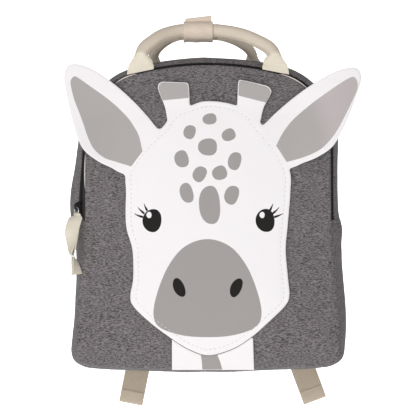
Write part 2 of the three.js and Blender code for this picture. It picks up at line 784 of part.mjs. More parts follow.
function handleWrap() {
  const rolls = [
    { y: rollFrontY, z: frontRollZ, radius: frontRoll / 2 },
    { y: rollRearY, z: rearRollZ, radius: rearRoll / 2 },
  ];
  const hull = (turn, x, grow) => {
    const angle = 2 * Math.PI * turn;
    const [cos, sin] = [Math.cos(angle), Math.sin(angle)];
    const far = (roll) => roll.y * cos + roll.z * sin + roll.radius;
    const roll = far(rolls[0]) > far(rolls[1]) ? rolls[0] : rolls[1];
    const radius = roll.radius + grow;
    return point(x, roll.y + radius * cos, roll.z + radius * sin);
  };
  const [left, right] = [wrapShift - wrapWidth / 2, wrapShift + wrapWidth / 2];
  const sleeve = plate(
    24, 2,
    (u, v) => hull(u, lerp(left, right, v), seamGap + wrapWall),
    (u, v) => hull(u, lerp(left, right, v), seamGap),
    true,
  );
  const topZ = frontRollZ + frontRoll / 2 + seamGap;
  const tabZ = topZ + wrapWall + wrapTabHeight;
  const tabLoop = (z, lean) => [
    point(left + 1, rollFrontY - wrapTabWall / 2 + lean, z),
    point(right - 1, rollFrontY - wrapTabWall / 2 + lean, z),
    point(right - 1, rollFrontY + wrapTabWall / 2 + lean, z),
    point(left + 1, rollFrontY + wrapTabWall / 2 + lean, z),
  ];
  const tab = loft([tabLoop(topZ + wrapWall / 3, 0), tabLoop((topZ + tabZ) / 2, 0.3), tabLoop(tabZ, 1)]);
  return joined(sleeve, tab);
}

// Slider, ring and pull at the left end of the zip; they are turned a little to the front

const sliderShare = -seamShareAt(crownZ - sliderDrop);
const sliderTurn = radians(34);
const sliderOut = point(-Math.cos(sliderTurn), -Math.sin(sliderTurn), 0);
const sliderAcross = point(Math.sin(sliderTurn), -Math.cos(sliderTurn), 0);

const sliderSeat = (() => {
  const coil = sidePoint(sliderShare, zipWidth / 2, zipSinkAt(sliderShare) - zipCoilHeight);
  return coil.addScaledVector(sliderOut, sliderLift);
})();

const sliderPlace = (out, across, up) => sliderSeat.clone()
  .addScaledVector(sliderOut, out)
  .addScaledVector(sliderAcross, across)
  .add(point(0, 0, up));

const bridgeWidth = sliderWidth * 0.42;
const bridgeHigh = ringWire + 2 * seamGap + 0.4;

function zipSlider() {
  const rows = [
    { up: 0.5, wide: 0.7 },
    { up: 0.3, wide: 1 },
    { up: -0.2, wide: 0.85 },
    { up: -0.5, wide: 0.55 },
  ];
  const body = loft(rows.map((row) => {
    const half = (row.wide * sliderWidth) / 2;
    const up = row.up * sliderHeight;
    return [
      sliderPlace(0, -half, up),
      sliderPlace(0, half, up),
      sliderPlace(sliderWall, half * 0.9, up),
      sliderPlace(sliderWall, -half * 0.9, up),
    ];
  }));
  const bridge = [];
  for (let i = 0; i <= 8; i += 1) {
    const angle = (Math.PI * i) / 8;
    const up = Math.cos(angle) * (sliderHeight * 0.38);
    const out = sliderWall - 0.3 + Math.sin(angle) ** 0.6 * (bridgeHigh + bridgeWall / 2 + 0.3);
    bridge.push({ place: sliderPlace(out, 0, up), across: sliderAcross, width: bridgeWidth, wall: bridgeWall });
  }
  return joined(body, sweep(bridge, 4));
}

const ringTopOut = sliderWall + seamGap + ringWire / 2;
const ringMiddleUp = -sliderHeight * 0.22 - ringRadius + ringWire;

function pullRing() {
  const ring = new THREE.TorusGeometry(ringRadius, ringWire / 2, 6, 16);
  const basis = new THREE.Matrix4().makeBasis(sliderAcross, point(0, 0, 1), sliderOut);
  ring.applyMatrix4(basis);
  const place = sliderPlace(ringTopOut, 0, ringMiddleUp);
  ring.translate(place.x, place.y, place.z);
  return ring;
}

function pullTab() {
  const ringFoot = sliderPlace(ringTopOut, 0, ringMiddleUp - ringRadius);
  const layer = pullWall / 2 + seamGap;
  const turn = Math.PI / 2 - sliderTurn;
  const outward = point(-Math.sin(turn), -Math.cos(turn), 0);
  const around = ringWire / 2 + seamGap + pullWall / 2;
  const across = point(Math.cos(turn), -Math.sin(turn), 0);
  const narrow = { across, width: ringRadius * 0.66, wall: pullWall };
  const foldPlace = (angle, leg) => ringFoot.clone()
    .addScaledVector(outward, Math.cos(angle) * around)
    .add(point(0, 0, Math.sin(angle) * around - leg));
  const half = (side) => {
    const sections = [];
    for (let i = 0; i <= 3; i += 1) {
      const angle = Math.PI * (side > 0 ? i / 6 : 1 - i / 6);
      sections.unshift({ ...narrow, place: foldPlace(angle, 0) });
    }
    sections.push({ ...narrow, place: foldPlace(side > 0 ? 0 : Math.PI, ringWire) });
    for (let step = 0; step < 2 * pullRows.length - 1; step += 1) {
      const [a, b] = [pullRows[Math.floor(step / 2)], pullRows[Math.ceil(step / 2)]];
      const middle = (key) => (a[key] + b[key]) / 2;
      const angle = radians(middle('turn'));
      const place = point(middle('right'), -middle('forward'), -middle('down'))
        .multiplyScalar(pullLength)
        .add(ringFoot)
        .addScaledVector(point(-Math.sin(angle), -Math.cos(angle), 0), side * layer);
      const facing = point(Math.cos(angle), -Math.sin(angle), 0);
      sections.push({ place, across: facing, width: pullWidth, wall: pullWall });
    }
    sections[0].along = outward.clone().multiplyScalar(side);
    return sweep(sections, 4);
  };
  return joined(half(1), half(-1));
}

// Shoulder straps, their buckles and the webbing from the base

const backFace = backPlane + seamGap + backDome + backPad;
const strapTopZ = crownZ - strapTopDrop;
const buckleZ = crownZ - buckleDrop;
const buckleY = backFace + strapBow * 0.36 + strapWall / 2;
const buckleSlot = (buckleHeight - 3 * buckleBar) / 2;
const barPitch = buckleSlot + buckleBar;
const barRound = buckleBar * Math.SQRT1_2 + seamGap + webbingWall / 2;

function shoulderStrap(row) {
  const top = (row.side * strapTopSpread) / 2;
  const end = (row.side * row.buckle * buckleSpread) / 2;
  const length = strapTopZ - buckleZ - buckleHeight / 2 - 6;
  const sections = strapRows.map((part) => ({
    place: point(
      lerp(top, end, part.across),
      backFace + seamGap + strapWall / 2 + strapBow * part.bow,
      strapTopZ - part.down * length,
    ),
    across: point(1, 0, 0),
    width: strapWidth * part.wide,
    wall: strapWall,
  }));
  const pad = sweep(sections, 8);
  const loopMiddle = buckleZ + barPitch;
  const loop = [];
  const hold = point(end, buckleY, strapTopZ - length + 4);
  loop.push({ place: hold.clone().add(point(0, webbingWall * 0.7, 0)) });
  for (let i = 0; i <= 8; i += 1) {
    const angle = (Math.PI * i) / 8;
    const [away, up] = [Math.cos(angle) * barRound, -Math.sin(angle) * barRound];
    loop.push({ place: point(end, buckleY + away, loopMiddle + up) });
  }
  loop.push({ place: hold.clone().add(point(0, -webbingWall * 0.7, 0)) });
  const flat = { across: point(1, 0, 0), width: webbingWidth, wall: webbingWall };
  const band = loop.map((part) => ({ ...part, ...flat }));
  return joined(pad, sweep(band, 4));
}

// A buckle is a frame with three bars, which the webbing is threaded round

function strapBuckle(row) {
  const wide = webbingWidth + 2 * seamGap + 2 * buckleBar + 1;
  const frame = new THREE.Shape();
  frame.moveTo(-wide / 2 + 2, -buckleHeight / 2);
  frame.lineTo(wide / 2 - 2, -buckleHeight / 2);
  frame.quadraticCurveTo(wide / 2, -buckleHeight / 2, wide / 2, -buckleHeight / 2 + 2);
  frame.lineTo(wide / 2, buckleHeight / 2 - 2);
  frame.quadraticCurveTo(wide / 2, buckleHeight / 2, wide / 2 - 2, buckleHeight / 2);
  frame.lineTo(-wide / 2 + 2, buckleHeight / 2);
  frame.quadraticCurveTo(-wide / 2, buckleHeight / 2, -wide / 2, buckleHeight / 2 - 2);
  frame.lineTo(-wide / 2, -buckleHeight / 2 + 2);
  frame.quadraticCurveTo(-wide / 2, -buckleHeight / 2, -wide / 2 + 2, -buckleHeight / 2);
  const slotHalf = wide / 2 - buckleBar;
  for (const side of [-1, 1]) {
    const low = side < 0 ? -barPitch + buckleBar / 2 : buckleBar / 2;
    frame.holes.push(new THREE.Path([
      new THREE.Vector2(-slotHalf, low),
      new THREE.Vector2(-slotHalf, low + buckleSlot),
      new THREE.Vector2(slotHalf, low + buckleSlot),
      new THREE.Vector2(slotHalf, low),
    ]));
  }
  const options = { depth: buckleBar, bevelEnabled: false, curveSegments: 4 };
  const geometry = new THREE.ExtrudeGeometry(frame, options);
  geometry.rotateX(Math.PI / 2);
  geometry.translate((row.side * row.buckle * buckleSpread) / 2, buckleY + buckleBar / 2, buckleZ);
  return geometry;
}

// The webbing: sewn to the base, up behind the buckle, round its middle bar and down again

function strapWebbing(row) {
  const x = (row.side * row.buckle * buckleSpread) / 2;
  const layer = webbingWall + seamGap;
  const near = buckleY - barRound;
  const anchor = point((row.side * anchorSpread) / 2, 0, baseZ + anchorRise);
  anchor.y = backOuter(anchor.x, anchor.z) + seamGap * 2 + webbingWall / 2;
  const tail = point((row.side * row.tail * tailSpread) / 2, backFace + 1, baseZ - row.reach * tailReach);
  const sections = [];
  const flat = point(1, 0, 0);
  const splay = (from, to) => point(from.z - to.z, 0, to.x - from.x).normalize();
  const add = (place, across) => sections.push({ place, across, width: webbingWidth, wall: webbingWall });
  const below = point(x, near - layer, buckleZ - barPitch);
  const loadAcross = splay(below, anchor);
  add(anchor, loadAcross);
  for (const share of [0.3, 0.6, 0.85]) {
    const spot = anchor.clone().lerp(below, share);
    spot.y += Math.sin(Math.PI * share) * 4;
    add(spot, loadAcross);
  }
  add(below, flat);
  for (let i = 0; i <= 12; i += 1) {
    const angle = Math.PI * (i / 8) - Math.PI / 2;
    const deep = barRound + Math.max(0, -angle / Math.PI) * 2 * layer;
    add(point(x, buckleY + Math.sin(angle) * deep, buckleZ + Math.cos(angle) * barRound), flat);
  }
  add(point(x, near, buckleZ - barPitch + buckleBar), flat);
  const out = point(x, near, buckleZ - barPitch - buckleBar);
  const tailAcross = splay(out, tail);
  add(out, flat);
  for (const share of [0.25, 0.5, 0.75]) {
    const spot = out.clone().lerp(tail, share);
    spot.y += Math.sin(Math.PI * share) * 3;
    add(spot, tailAcross);
  }
  const hemTop = tail.clone().add(out.clone().sub(tail).setLength(hemLength));
  add(hemTop, tailAcross);
  add(tail, tailAcross);
  const hemWall = webbingWall + 0.6;
  const hem = [hemTop, tail].map((place, k) => ({
    place: place.clone().add(point(0, -webbingWall, k * -0.4)),
    across: tailAcross,
    width: webbingWidth,
    wall: hemWall,
  }));
  return joined(sweep(sections, 4), sweep(hem, 4));
}

// The assembly

const group = new THREE.Group();

function addPiece(name, geometry, finish) {
  const mesh = new THREE.Mesh(geometry, new THREE.MeshStandardMaterial(finishes[finish]));
  mesh.name = name;
  group.add(mesh);
}

addPiece('front_panel', frontPanel(), 'marl');
addPiece('back_panel', backPanel(), 'marl');
addPiece('upper_gusset', upperGusset(), 'marl');
addPiece('lower_gusset', lowerGusset(), 'marl');
addPiece('zip_band', zipBand(), 'black');
addPiece('giraffe_head', giraffeHead(), 'white');
addPiece('neck_panel', neckPanel(), 'white');
addPiece('handle_front', frontHandle(), 'cream');
addPiece('handle_rear', rearHandle(), 'cream');
addPiece('handle_wrap', handleWrap(), 'wrap');
addPiece('zip_slider', zipSlider(), 'black');
addPiece('pull_ring', pullRing(), 'steel');
addPiece('pull_tab', pullTab(), 'cream');

for (const row of strapSides) {
  addPiece(`shoulder_strap_${row.name}`, shoulderStrap(row), 'marl');
  addPiece(`strap_buckle_${row.name}`, strapBuckle(row), 'black');
  addPiece(`strap_webbing_${row.name}`, strapWebbing(row), 'beige');
}

export default group;
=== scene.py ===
"""Builds a small child's cloth backpack with a giraffe's head on its front."""

import math

import bmesh
import bpy
import numpy as np
from bpy.types import Operator, Panel, PropertyGroup
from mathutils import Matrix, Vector, geometry, kdtree


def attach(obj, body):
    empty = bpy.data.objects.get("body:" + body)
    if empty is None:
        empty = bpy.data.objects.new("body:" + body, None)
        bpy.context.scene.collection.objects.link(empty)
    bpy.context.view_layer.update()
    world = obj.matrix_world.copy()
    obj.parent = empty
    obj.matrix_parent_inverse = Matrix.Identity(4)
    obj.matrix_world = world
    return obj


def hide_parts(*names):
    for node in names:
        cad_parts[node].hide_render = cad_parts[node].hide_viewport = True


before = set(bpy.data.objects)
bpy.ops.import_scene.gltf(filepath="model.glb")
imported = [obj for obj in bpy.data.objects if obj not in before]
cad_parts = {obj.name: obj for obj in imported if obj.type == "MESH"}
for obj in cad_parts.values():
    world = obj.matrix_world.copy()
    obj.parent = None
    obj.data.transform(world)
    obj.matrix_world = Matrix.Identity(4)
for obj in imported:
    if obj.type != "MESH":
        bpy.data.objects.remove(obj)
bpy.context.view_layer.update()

bl_info = {
    "name": "Kids Animal Backpack",
    "version": (1, 0, 0),
    "blender": (4, 5, 0),
    "location": "View3D > Sidebar > Backpack",
    "description": "Builds a small child's cloth backpack with a giraffe's head on its front",
    "category": "Object",
}

MM = 0.001

# Tables of shapes. Shares are of the sizes that the properties below name.

# Puckers of the side cloth: side (0 is both), how far down, back and out, and how wide
SIDE_PUCKERS = (
    (-1, 0.22, 0.3, -0.25, 0.07), (-1, 0.46, 0.3, 1.07, 0.13), (-1, 0.8, 0.4, -0.6, 0.18),
    (1, 0.4, 0.25, -0.08, 0.13), (1, 0.54, 0.3, 0.48, 0.04), (1, 0.6, 0.3, 0.33, 0.06),
    (1, 0.97, 0.35, -0.85, 0.07), (-1, 0.05, 0.3, -0.22, 0.06), (1, 0.05, 0.3, 0.24, 0.06),
    (0, 0.0, 0.3, 0.13, 0.014),
)

# Dents of the front cloth: across, down, depth and width
FRONT_DENTS = (
    (-0.78, 0.62, 0.16, 0.16), (0.8, 0.56, 0.14, 0.14), (-0.7, 0.9, 0.12, 0.12),
    (0.66, 0.92, 0.14, 0.13), (0.1, 0.04, 0.08, 0.14),
)

# Soft folds of the front cloth: from and to in millimetres, height and half width
FRONT_FOLDS = (
    (118, -176, 98, -196, -0.5, 4.0), (119, -182, 104, -222, 0.6, 5.0),
    (-117, -182, -100, -204, -0.5, 4.5), (-118, -190, -106, -238, 0.55, 5.5),
    (112, -262, 86, -300, -0.5, 7.0), (-114, -270, -88, -306, 0.5, 7.0),
    (-60, -37, -20, -44, -0.35, 4.0), (30, -36, 74, -44, 0.35, 4.0),
)

# How fast the domes fall off towards the seam, and up to where the head follows the front's
DOME_POWER, HEAD_HELD = 2.6, 0.78

# The strip over the side cloths' joint in millimetres: half width, lift and thickness
COVER_REACH, COVER_LIFT, COVER_WALL = 1.6, 0.45, 0.5

# Where the lining shows along the front seam, as shares of its length
SEAM_LININGS = ((0.396, 0.43), (0.57, 0.594), (0.672, 0.706))

# The face from its top down: how far down, half widths left and right
FACE_ROWS = (
    (0.003, 0.09, 0.14), (0.016, 0.2, 0.32), (0.045, 0.42, 0.5), (0.104, 0.56, 0.64),
    (0.18, 0.8, 0.84), (0.275, 0.99, 0.985), (0.36, 1.0, 0.992), (0.49, 0.998, 0.96),
    (0.585, 0.922, 0.936), (0.695, 0.912, 0.963), (0.765, 0.946, 0.98), (0.807, 0.91, 0.925),
    (0.87, 0.712, 0.727), (0.93, 0.467, 0.517), (0.976, 0.24, 0.285),
)

# An ear from its root to its tip: how far along, edges above and below its axis
EAR_ROWS = (
    (-0.06, 0.34, 0.38), (0.1, 0.385, 0.5), (0.22, 0.4, 0.57), (0.38, 0.4, 0.6),
    (0.55, 0.38, 0.5), (0.72, 0.335, 0.35), (0.86, 0.27, 0.21), (0.97, 0.17, 0.08),
)

# The grey inside of each ear, round from its inner corner: along the axis and above it
LEFT_EAR_INSIDE = (
    (0.0, 0.0), (0.12, 0.115), (0.22, 0.16), (0.31, 0.18), (0.45, 0.175), (0.58, 0.148),
    (0.74, 0.095), (0.86, 0.055), (0.9, 0.03), (0.908, -0.02), (0.88, -0.09), (0.757, -0.208),
    (0.65, -0.28), (0.543, -0.355), (0.43, -0.44), (0.32, -0.495), (0.202, -0.48),
    (0.099, -0.395), (-0.03, -0.273),
)
RIGHT_EAR_INSIDE = (
    (0.007, -0.006), (0.1, 0.06), (0.193, 0.105), (0.31, 0.13), (0.495, 0.128), (0.603, 0.116),
    (0.776, 0.088), (0.9, 0.055), (0.935, 0.02), (0.93, -0.06), (0.879, -0.152), (0.742, -0.26),
    (0.62, -0.345), (0.503, -0.418), (0.38, -0.462), (0.265, -0.462), (0.127, -0.396),
    (-0.016, -0.288),
)

# Where each ear grows, its lean in degrees, its share of the width and its inside
EARS = (
    (-1, 0.8, 0.198, 46.8, 1.02, LEFT_EAR_INSIDE),
    (1, 0.81, 0.177, 40.4, 0.92, RIGHT_EAR_INSIDE),
)

# How far each horn's top falls away from the face's middle, as a share of its width there
HORN_FALL = {-1: -0.04, 1: 0.24}

# How wide each horn spreads on its outer side
HORN_SPREAD = {-1: 0.97, 1: 1.09}

# Inward corners of the head's outline: place in millimetres and how far the curve reaches
HEAD_CORNERS = (
    (-47, -87, 4), (-20.5, -63, 2), (28.5, -63, 2), (54, -82, 6.5), (-83, -132, 4.5),
    (82.4, -126, 3),
)

# A horn from its root up: how far up, edges towards and away from the face's middle
HORN_ROWS = (
    (0.0, 0.4, 0.24), (0.38, 0.385, 0.32), (0.7, 0.37, 0.47), (0.87, 0.36, 0.52),
    (0.97, 0.34, 0.46), (1.0, 0.28, 0.36),
)

# Spots of the print: place and size in millimetres from the face's top, turn in degrees
SPOTS = (
    (1, -18, 14, 11, 8), (-19, -31, 12, 14, -18), (20, -34, 14, 12, 24), (-1, -46, 19, 17, 0),
    (-27, -58, 14, 17, 14), (26, -60, 13, 18, -14), (-9, -73, 13, 16, -30), (11, -72, 15, 14, 20),
    (1, -104, 21, 38, 4), (-22, -92, 13, 20, 16), (23, -94, 14, 19, -18),
)

# The muzzle's right half from its top down, in millimetres from the face's top
MUZZLE = (
    (0, -138), (22, -145), (38, -163), (49, -188), (54, -212), (48, -226), (26, -234), (0, -236),
)

# Eyes and nostrils, in the same measure: how far out and down, width, height and turn
EYE = (56.5, 119.5, 19, 23, 6)
NOSTRIL = (28.5, 186.5, 11, 20, -24)

# An eye's glint: how far left of the eye's middle, how far down the face, width and height
GLINT = (3, 114, 5.2, 6.4)

# Lashes: lean in degrees and length in millimetres
LASHES = ((20, 9.5), (42, 9), (64, 7.5))

# Each horn's print ends here: side, height at its inner and outer edge in millimetres
HORN_PRINTS = ((-1, -57.4, -62.2), (1, -55.2, -63))

# The neck's grey patch below the chin, in millimetres right of the neck's middle and in height
NECK_PATCH = ((-12.4, -310), (3.4, -310), (5.2, -314), (7.6, -320))
NECK_PATCH_FOOT = ((9.9, 0.4), (-10.1, 0.4))
NECK_PATCH_LEFT = ((-10.7, -320), (-11.6, -314))

# Distances from a cloth's edge in millimetres at which its rim is rounded
HEAD_RIM = (0.1, 0.35, 0.75, 1.3)
NECK_RIM = (0.1, 0.3, 0.7)

# Half of a grab handle from its sewn end to the wrap: across, rise, lean, how far rolled
HANDLE_ROWS = (
    (1.005, 0.02, 0.0, 0.0), (1.0, 0.15, 0.01, 0.08), (0.985, 0.25, 0.03, 0.36),
    (0.98, 0.33, 0.06, 0.68), (0.975, 0.42, 0.1, 0.97), (0.94, 0.52, 0.17, 1.0),
    (0.85, 0.64, 0.28, 1.0), (0.64, 0.8, 0.5, 1.0), (0.45, 0.9, 0.71, 1.0),
    (0.24, 0.968, 0.9, 1.0), (0.08, 0.996, 0.99, 1.0), (0.0, 1.0, 1.0, 1.0),
)

# The zip pull from its ring down: down, right, forward, turn in degrees
PULL_ROWS = (
    (0.03, 0.0, 0.03, 30), (0.1, -0.03, 0.09, 14), (0.2, -0.063, 0.14, 8),
    (0.3, -0.078, 0.175, 10), (0.4, -0.077, 0.2, 36), (0.5, -0.072, 0.22, 57),
    (0.6, -0.065, 0.235, 71), (0.69, -0.055, 0.245, 88), (0.78, -0.037, 0.25, 107),
    (0.88, -0.012, 0.255, 120), (1.0, 0.005, 0.255, 133),
)

# How fast each handle's flat end turns into its roll; less is faster
ROLL_PACE = {"front": 1, "rear": 0.4}

# The slider's body from its top down: up and width; and where its two plates lie in its depth
SLIDER_ROWS = (
    (0.5, 0.62), (0.44, 0.8), (0.3, 1.0), (0.05, 0.95), (-0.2, 0.85), (-0.42, 0.66), (-0.5, 0.52),
)
SLIDER_PLATES = ((0.0, 0.34), (0.62, 1.0))

# The slider faces this far forward of the bag's side, in degrees
SLIDER_TURN = 34

# The wrap's standing end from its foot up: share of its height and share of its thickness
WRAP_TAB_ROWS = (
    (0, 0.8), (0.05, 0.3), (0.1, 0.25), (0.17, 0.3), (0.22, 1.0), (0.5, 1.15), (0.85, 1.1),
    (0.97, 0.8), (1.0, 0.4),
)

# A padded strap from its sewn end down: down, across, bow, width
STRAP_ROWS = (
    (0.0, 0.0, 0.0, 0.8), (0.08, 0.02, 0.22, 0.92), (0.22, 0.1, 0.62, 1.0), (0.4, 0.3, 0.95, 1.0),
    (0.58, 0.55, 1.0, 1.0), (0.76, 0.8, 0.8, 0.96), (0.9, 0.95, 0.5, 0.82), (1.0, 1.0, 0.36, 0.6),
)

# Steps of the simulation that fills the padding
FILLING_STEPS = 20

# Each side's strap: name, side, share of the buckles' spread, of the ends' spread and reach
STRAP_SIDES = (("left", -1, 0.92, 0.845, 1.0), ("right", 1, 1.1, 1.17, 0.92))


# Numbers and curves


def smoothstep(value, low, high):
    share = np.clip((value - low) / (high - low), 0, 1)
    return share * share * (3 - 2 * share)


def blend(low, high, share):
    return low + (high - low) * share


def unit(vectors):
    return vectors / np.maximum(np.linalg.norm(vectors, axis=-1, keepdims=True), 1e-12)


def spots(*coordinates):
    return np.stack(coordinates, axis=-1)


def turns(count):
    """Angles at an even spacing once round."""
    return np.linspace(0, 2 * np.pi, count, endpoint=False)


def cosine_sine(degrees):
    return math.cos(math.radians(degrees)), math.sin(math.radians(degrees))


def bell(distance, width):
    return np.exp(-((distance / width) ** 2))


def through(rows, steps, closed=False):
    """A smooth curve through a table's rows, with a number of steps between each two."""
    rows = np.asarray(rows, float)
    count = len(rows)
    spans = count if closed else count - 1
    at = np.arange(spans * steps + (0 if closed else 1)) / steps
    start = np.minimum(at.astype(int), spans - 1)
    t = (at - start)[:, None]

    def row(index):
        return rows[index % count] if closed else rows[np.clip(index, 0, count - 1)]

    a, b, c, d = row(start - 1), row(start), row(start + 1), row(start + 2)
    start = 2 * b + (c - a) * t + (2 * a - 5 * b + 4 * c - d) * t**2
    return 0.5 * (start + (3 * b - a - 3 * c + d) * t**3)


def bow(a, b, c, t):
    """A curve from a to c that leans towards b."""
    return (1 - t) ** 2 * np.array(a) + 2 * t * (1 - t) * np.array(b) + t**2 * np.array(c)


def squared(wave, power):
    """The wave of an outline that is round at power 1 and squarer as it falls."""
    return np.sign(wave) * np.abs(wave) ** power


def travelled(line):
    """How far along a line each of its points lies."""
    return np.concatenate([[0], np.cumsum(np.linalg.norm(np.diff(line, axis=0), axis=1))])


def even(line, spacing, closed=True):
    """The same line with points at an even spacing."""
    line = np.asarray(line)
    if closed:
        line = np.vstack([line, line[:1]])
    travel = travelled(line)
    count = max(int(round(travel[-1] / spacing)), 4)
    at = np.linspace(0, travel[-1], count + 1)
    if closed:
        at = at[:-1]
    return np.stack([np.interp(at, travel, line[:, k]) for k in range(line.shape[1])], axis=1)


def ripple(x, z, seed, size):
    """A soft even unrest between -1 and 1, the same on every run."""
    draws = np.random.default_rng(seed)
    total = 0
    for k in range(6):
        angle, phase = draws.uniform(0, math.pi), draws.uniform(0, 2 * math.pi)
        wave = 2 * math.pi / (size * draws.uniform(0.6, 1.6))
        total = total + np.sin((x * math.cos(angle) + z * math.sin(angle)) * wave + phase)
    return total / 4


def inside(line, x, z):
    """Whether places lie inside a closed line."""
    result = np.zeros(np.shape(x), bool)
    ahead = np.roll(line, -1, axis=0)
    for (x0, z0), (x1, z1) in zip(line, ahead):
        if z0 == z1:
            continue
        crosses = (z0 > z) != (z1 > z)
        result ^= crosses & (x < (x1 - x0) * (z - z0) / (z1 - z0) + x0)
    return result


def turned_left(line):
    """The same closed line, run anticlockwise."""
    x, z = line[:, 0], line[:, 1]
    area = np.sum(x * np.roll(z, -1) - z * np.roll(x, -1))
    return line if area > 0 else line[::-1]


def inward(line, over, probe):
    """The way into a closed line at each of its points."""
    ahead = unit(np.roll(line, -over, axis=0) - np.roll(line, over, axis=0))
    square = spots(-ahead[:, 1], ahead[:, 0])
    within = inside(line, *(line[:1] + square[:1] * probe).T)[0]
    return square if within else -square


def distance_to(line, points):
    """How far each point lies from a closed line."""
    dense = even(line, 0.35 * MM)
    tree = kdtree.KDTree(len(dense))
    for index, (x, z) in enumerate(dense):
        tree.insert((x, z, 0), index)
    tree.balance()
    return np.array([tree.find((x, z, 0))[2] for x, z in points])


# The bag's form


class BagForm:
    """The front seam's line and the curved surfaces of the bag that follow from it."""

    def __init__(self, size):
        self.size = size
        self.crown_z = -size.hang_drop
        self.base_z = self.crown_z - size.bag_height
        self.half_base = size.bag_width / 2
        self.face_z = self.crown_z - size.face_top_drop
        self.zip_end_z = self.crown_z - size.zip_end_drop
        self.line = self._seam_line()
        travel = travelled(self.line)
        self.length = travel[-1]
        self.shares = travel / travel[-1]
        self.middle = np.array([0, self.base_z + size.bag_height * 0.46])
        spokes = self.line[:-1] - self.middle
        angles = np.mod(np.arctan2(spokes[:, 1], spokes[:, 0]) + math.pi / 2, 2 * math.pi)
        order = np.argsort(angles)
        self.angles = angles[order]
        self.far = np.linalg.norm(spokes, axis=1)[order]

    def _seam_line(self):
        size = self.size
        half_top, half_waist = size.shoulder_width / 2, size.waist_width / 2
        half_base = self.half_base
        corner, crown, small = size.corner_radius, size.crown_radius, size.base_corner_radius
        corner_x = half_top - corner
        rise = math.sqrt((crown - corner) ** 2 - corner_x**2)
        corner_z = self.crown_z - crown + rise
        turn = math.atan2(rise, corner_x)
        edge_z = self.base_z + size.base_rise
        hip_z = blend(edge_z, self.zip_end_z, 0.55)
        waist_z = blend(edge_z, self.zip_end_z, 0.72)
        t = np.linspace(0, 1, 160)[:, None]

        def waist(*corners):
            a, b, c, d = np.array(corners)
            u = 1 - t
            return u**3 * a + 3 * u * u * t * b + 3 * u * t * t * c + t**3 * d

        def arc(x, z, radius, start, end):
            angle = blend(start, end, t)
            return np.hstack([x + radius * np.cos(angle), z + radius * np.sin(angle)])

        right = np.vstack([
            bow((0, self.base_z), (0.66 * half_base, self.base_z), (half_base - small, edge_z), t),
            bow((half_base - small, edge_z), (half_base, edge_z), (half_base, edge_z + small), t),
            waist(
                (half_base, edge_z + small),
                (half_base, hip_z),
                (half_waist, waist_z),
                (half_waist, self.zip_end_z),
            ),
            np.array([[half_top, corner_z]]),
            arc(corner_x, corner_z, corner, 0, turn),
            arc(0, self.crown_z - crown, crown, turn, math.pi / 2),
        ])
        left = right[::-1] * (-1, 1)
        line = np.vstack([right, left])
        keep = np.concatenate([[True], np.linalg.norm(np.diff(line, axis=0), axis=1) > 1e-7])
        return line[keep]

    def seam(self, share):
        share = np.mod(share, 1)
        return tuple(np.interp(share, self.shares, self.line[:, k]) for k in (0, 1))

    def normal(self, share):
        x1, z1 = self.seam(share + 0.002)
        x0, z0 = self.seam(share - 0.002)
        far = np.hypot(x1 - x0, z1 - z0)
        return (z1 - z0) / far, -(x1 - x0) / far

    def share_at(self, height):
        """The seam's share at a height on the right side."""
        low, high = 0.02, 0.48
        for _ in range(40):
            middle = (low + high) / 2
            if self.seam(middle)[1] < height:
                low = middle
            else:
                high = middle
        return (low + high) / 2

    def zip_ends(self):
        """The seam's share at the zip's right end, and half a seam's gap as a share."""
        return self.share_at(self.zip_end_z), self.size.seam_gap / 2 / self.length

    def depth(self, z):
        down = (self.crown_z - z) / self.size.bag_height
        return blend(self.size.depth_top, self.size.depth_base, down)

    def front_plane(self, z):
        return self.size.back_plane - self.depth(z)

    def bulge(self, share, back):
        x, z = self.seam(share)
        swell = 1
        for side, down, at, out, wide in SIDE_PUCKERS:
            away = (self.crown_z - z) / self.size.bag_height - down
            deep = (back - at) * 0.5
            here = smoothstep(x * side, 0.02, 0.08) if side else 1
            swell = swell + here * out * np.exp(-(away**2 + (deep * 0.5) ** 2) / wide**2)
        under = smoothstep(-self.normal(share)[1], 0.3, 1)
        most = blend(self.size.side_bulge, self.size.base_bulge, under)
        return most * swell * np.sin(np.pi * np.clip(back, 0, 1)) ** 0.7

    def side(self, share, in_depth, sink):
        """A place on the side cloth, at a share of the seam and a depth behind the front."""
        x, z = self.seam(share)
        nx, nz = self.normal(share)
        out = self.bulge(share, in_depth / self.depth(z)) - sink
        return spots(x + nx * out, self.front_plane(z) + in_depth, z + nz * out)

    def zip_sink(self, share):
        level = smoothstep(self.normal(share)[1], 0.2, 0.9)
        return blend(self.size.zip_side_sink, self.size.zip_sink, level)

    def reach(self, x, z):
        dx, dz = x - self.middle[0], z - self.middle[1]
        angle = np.mod(np.arctan2(dz, dx) + math.pi / 2, 2 * math.pi)
        return np.hypot(dx, dz) / np.interp(angle, self.angles, self.far, period=2 * math.pi)

    def dome(self, share):
        return 1 - share**DOME_POWER

    def dent(self, x, z):
        total = 0
        for across, down, deep, wide in FRONT_DENTS:
            dx = (x / self.half_base - across) / wide
            dz = ((self.crown_z - z) / self.size.bag_height - down) / wide
            total = total + deep * np.exp(-(dx**2) - dz**2)
        return total

    def front_at(self, z, crown):
        """The outer face of the front cloth where it is domed by a share of its crown."""
        size = self.size
        return self.front_plane(z) - size.seam_gap - size.cloth_wall - size.front_dome * crown

    def front(self, x, z):
        share = np.minimum(self.reach(x, z), 1)
        return self.front_at(z, self.dome(share) - self.dent(x, z) * (1 - share**6))

    def back_inner(self, x, z):
        size = self.size
        crown = self.dome(np.minimum(self.reach(x, z), 1))
        return size.back_plane + size.seam_gap + size.back_dome * crown

    def back_outer(self, x, z):
        crown = self.dome(np.minimum(self.reach(x, z), 1))
        pad = blend(self.size.cloth_wall * 2, self.size.back_pad, crown**0.4)
        return self.back_inner(x, z) + pad

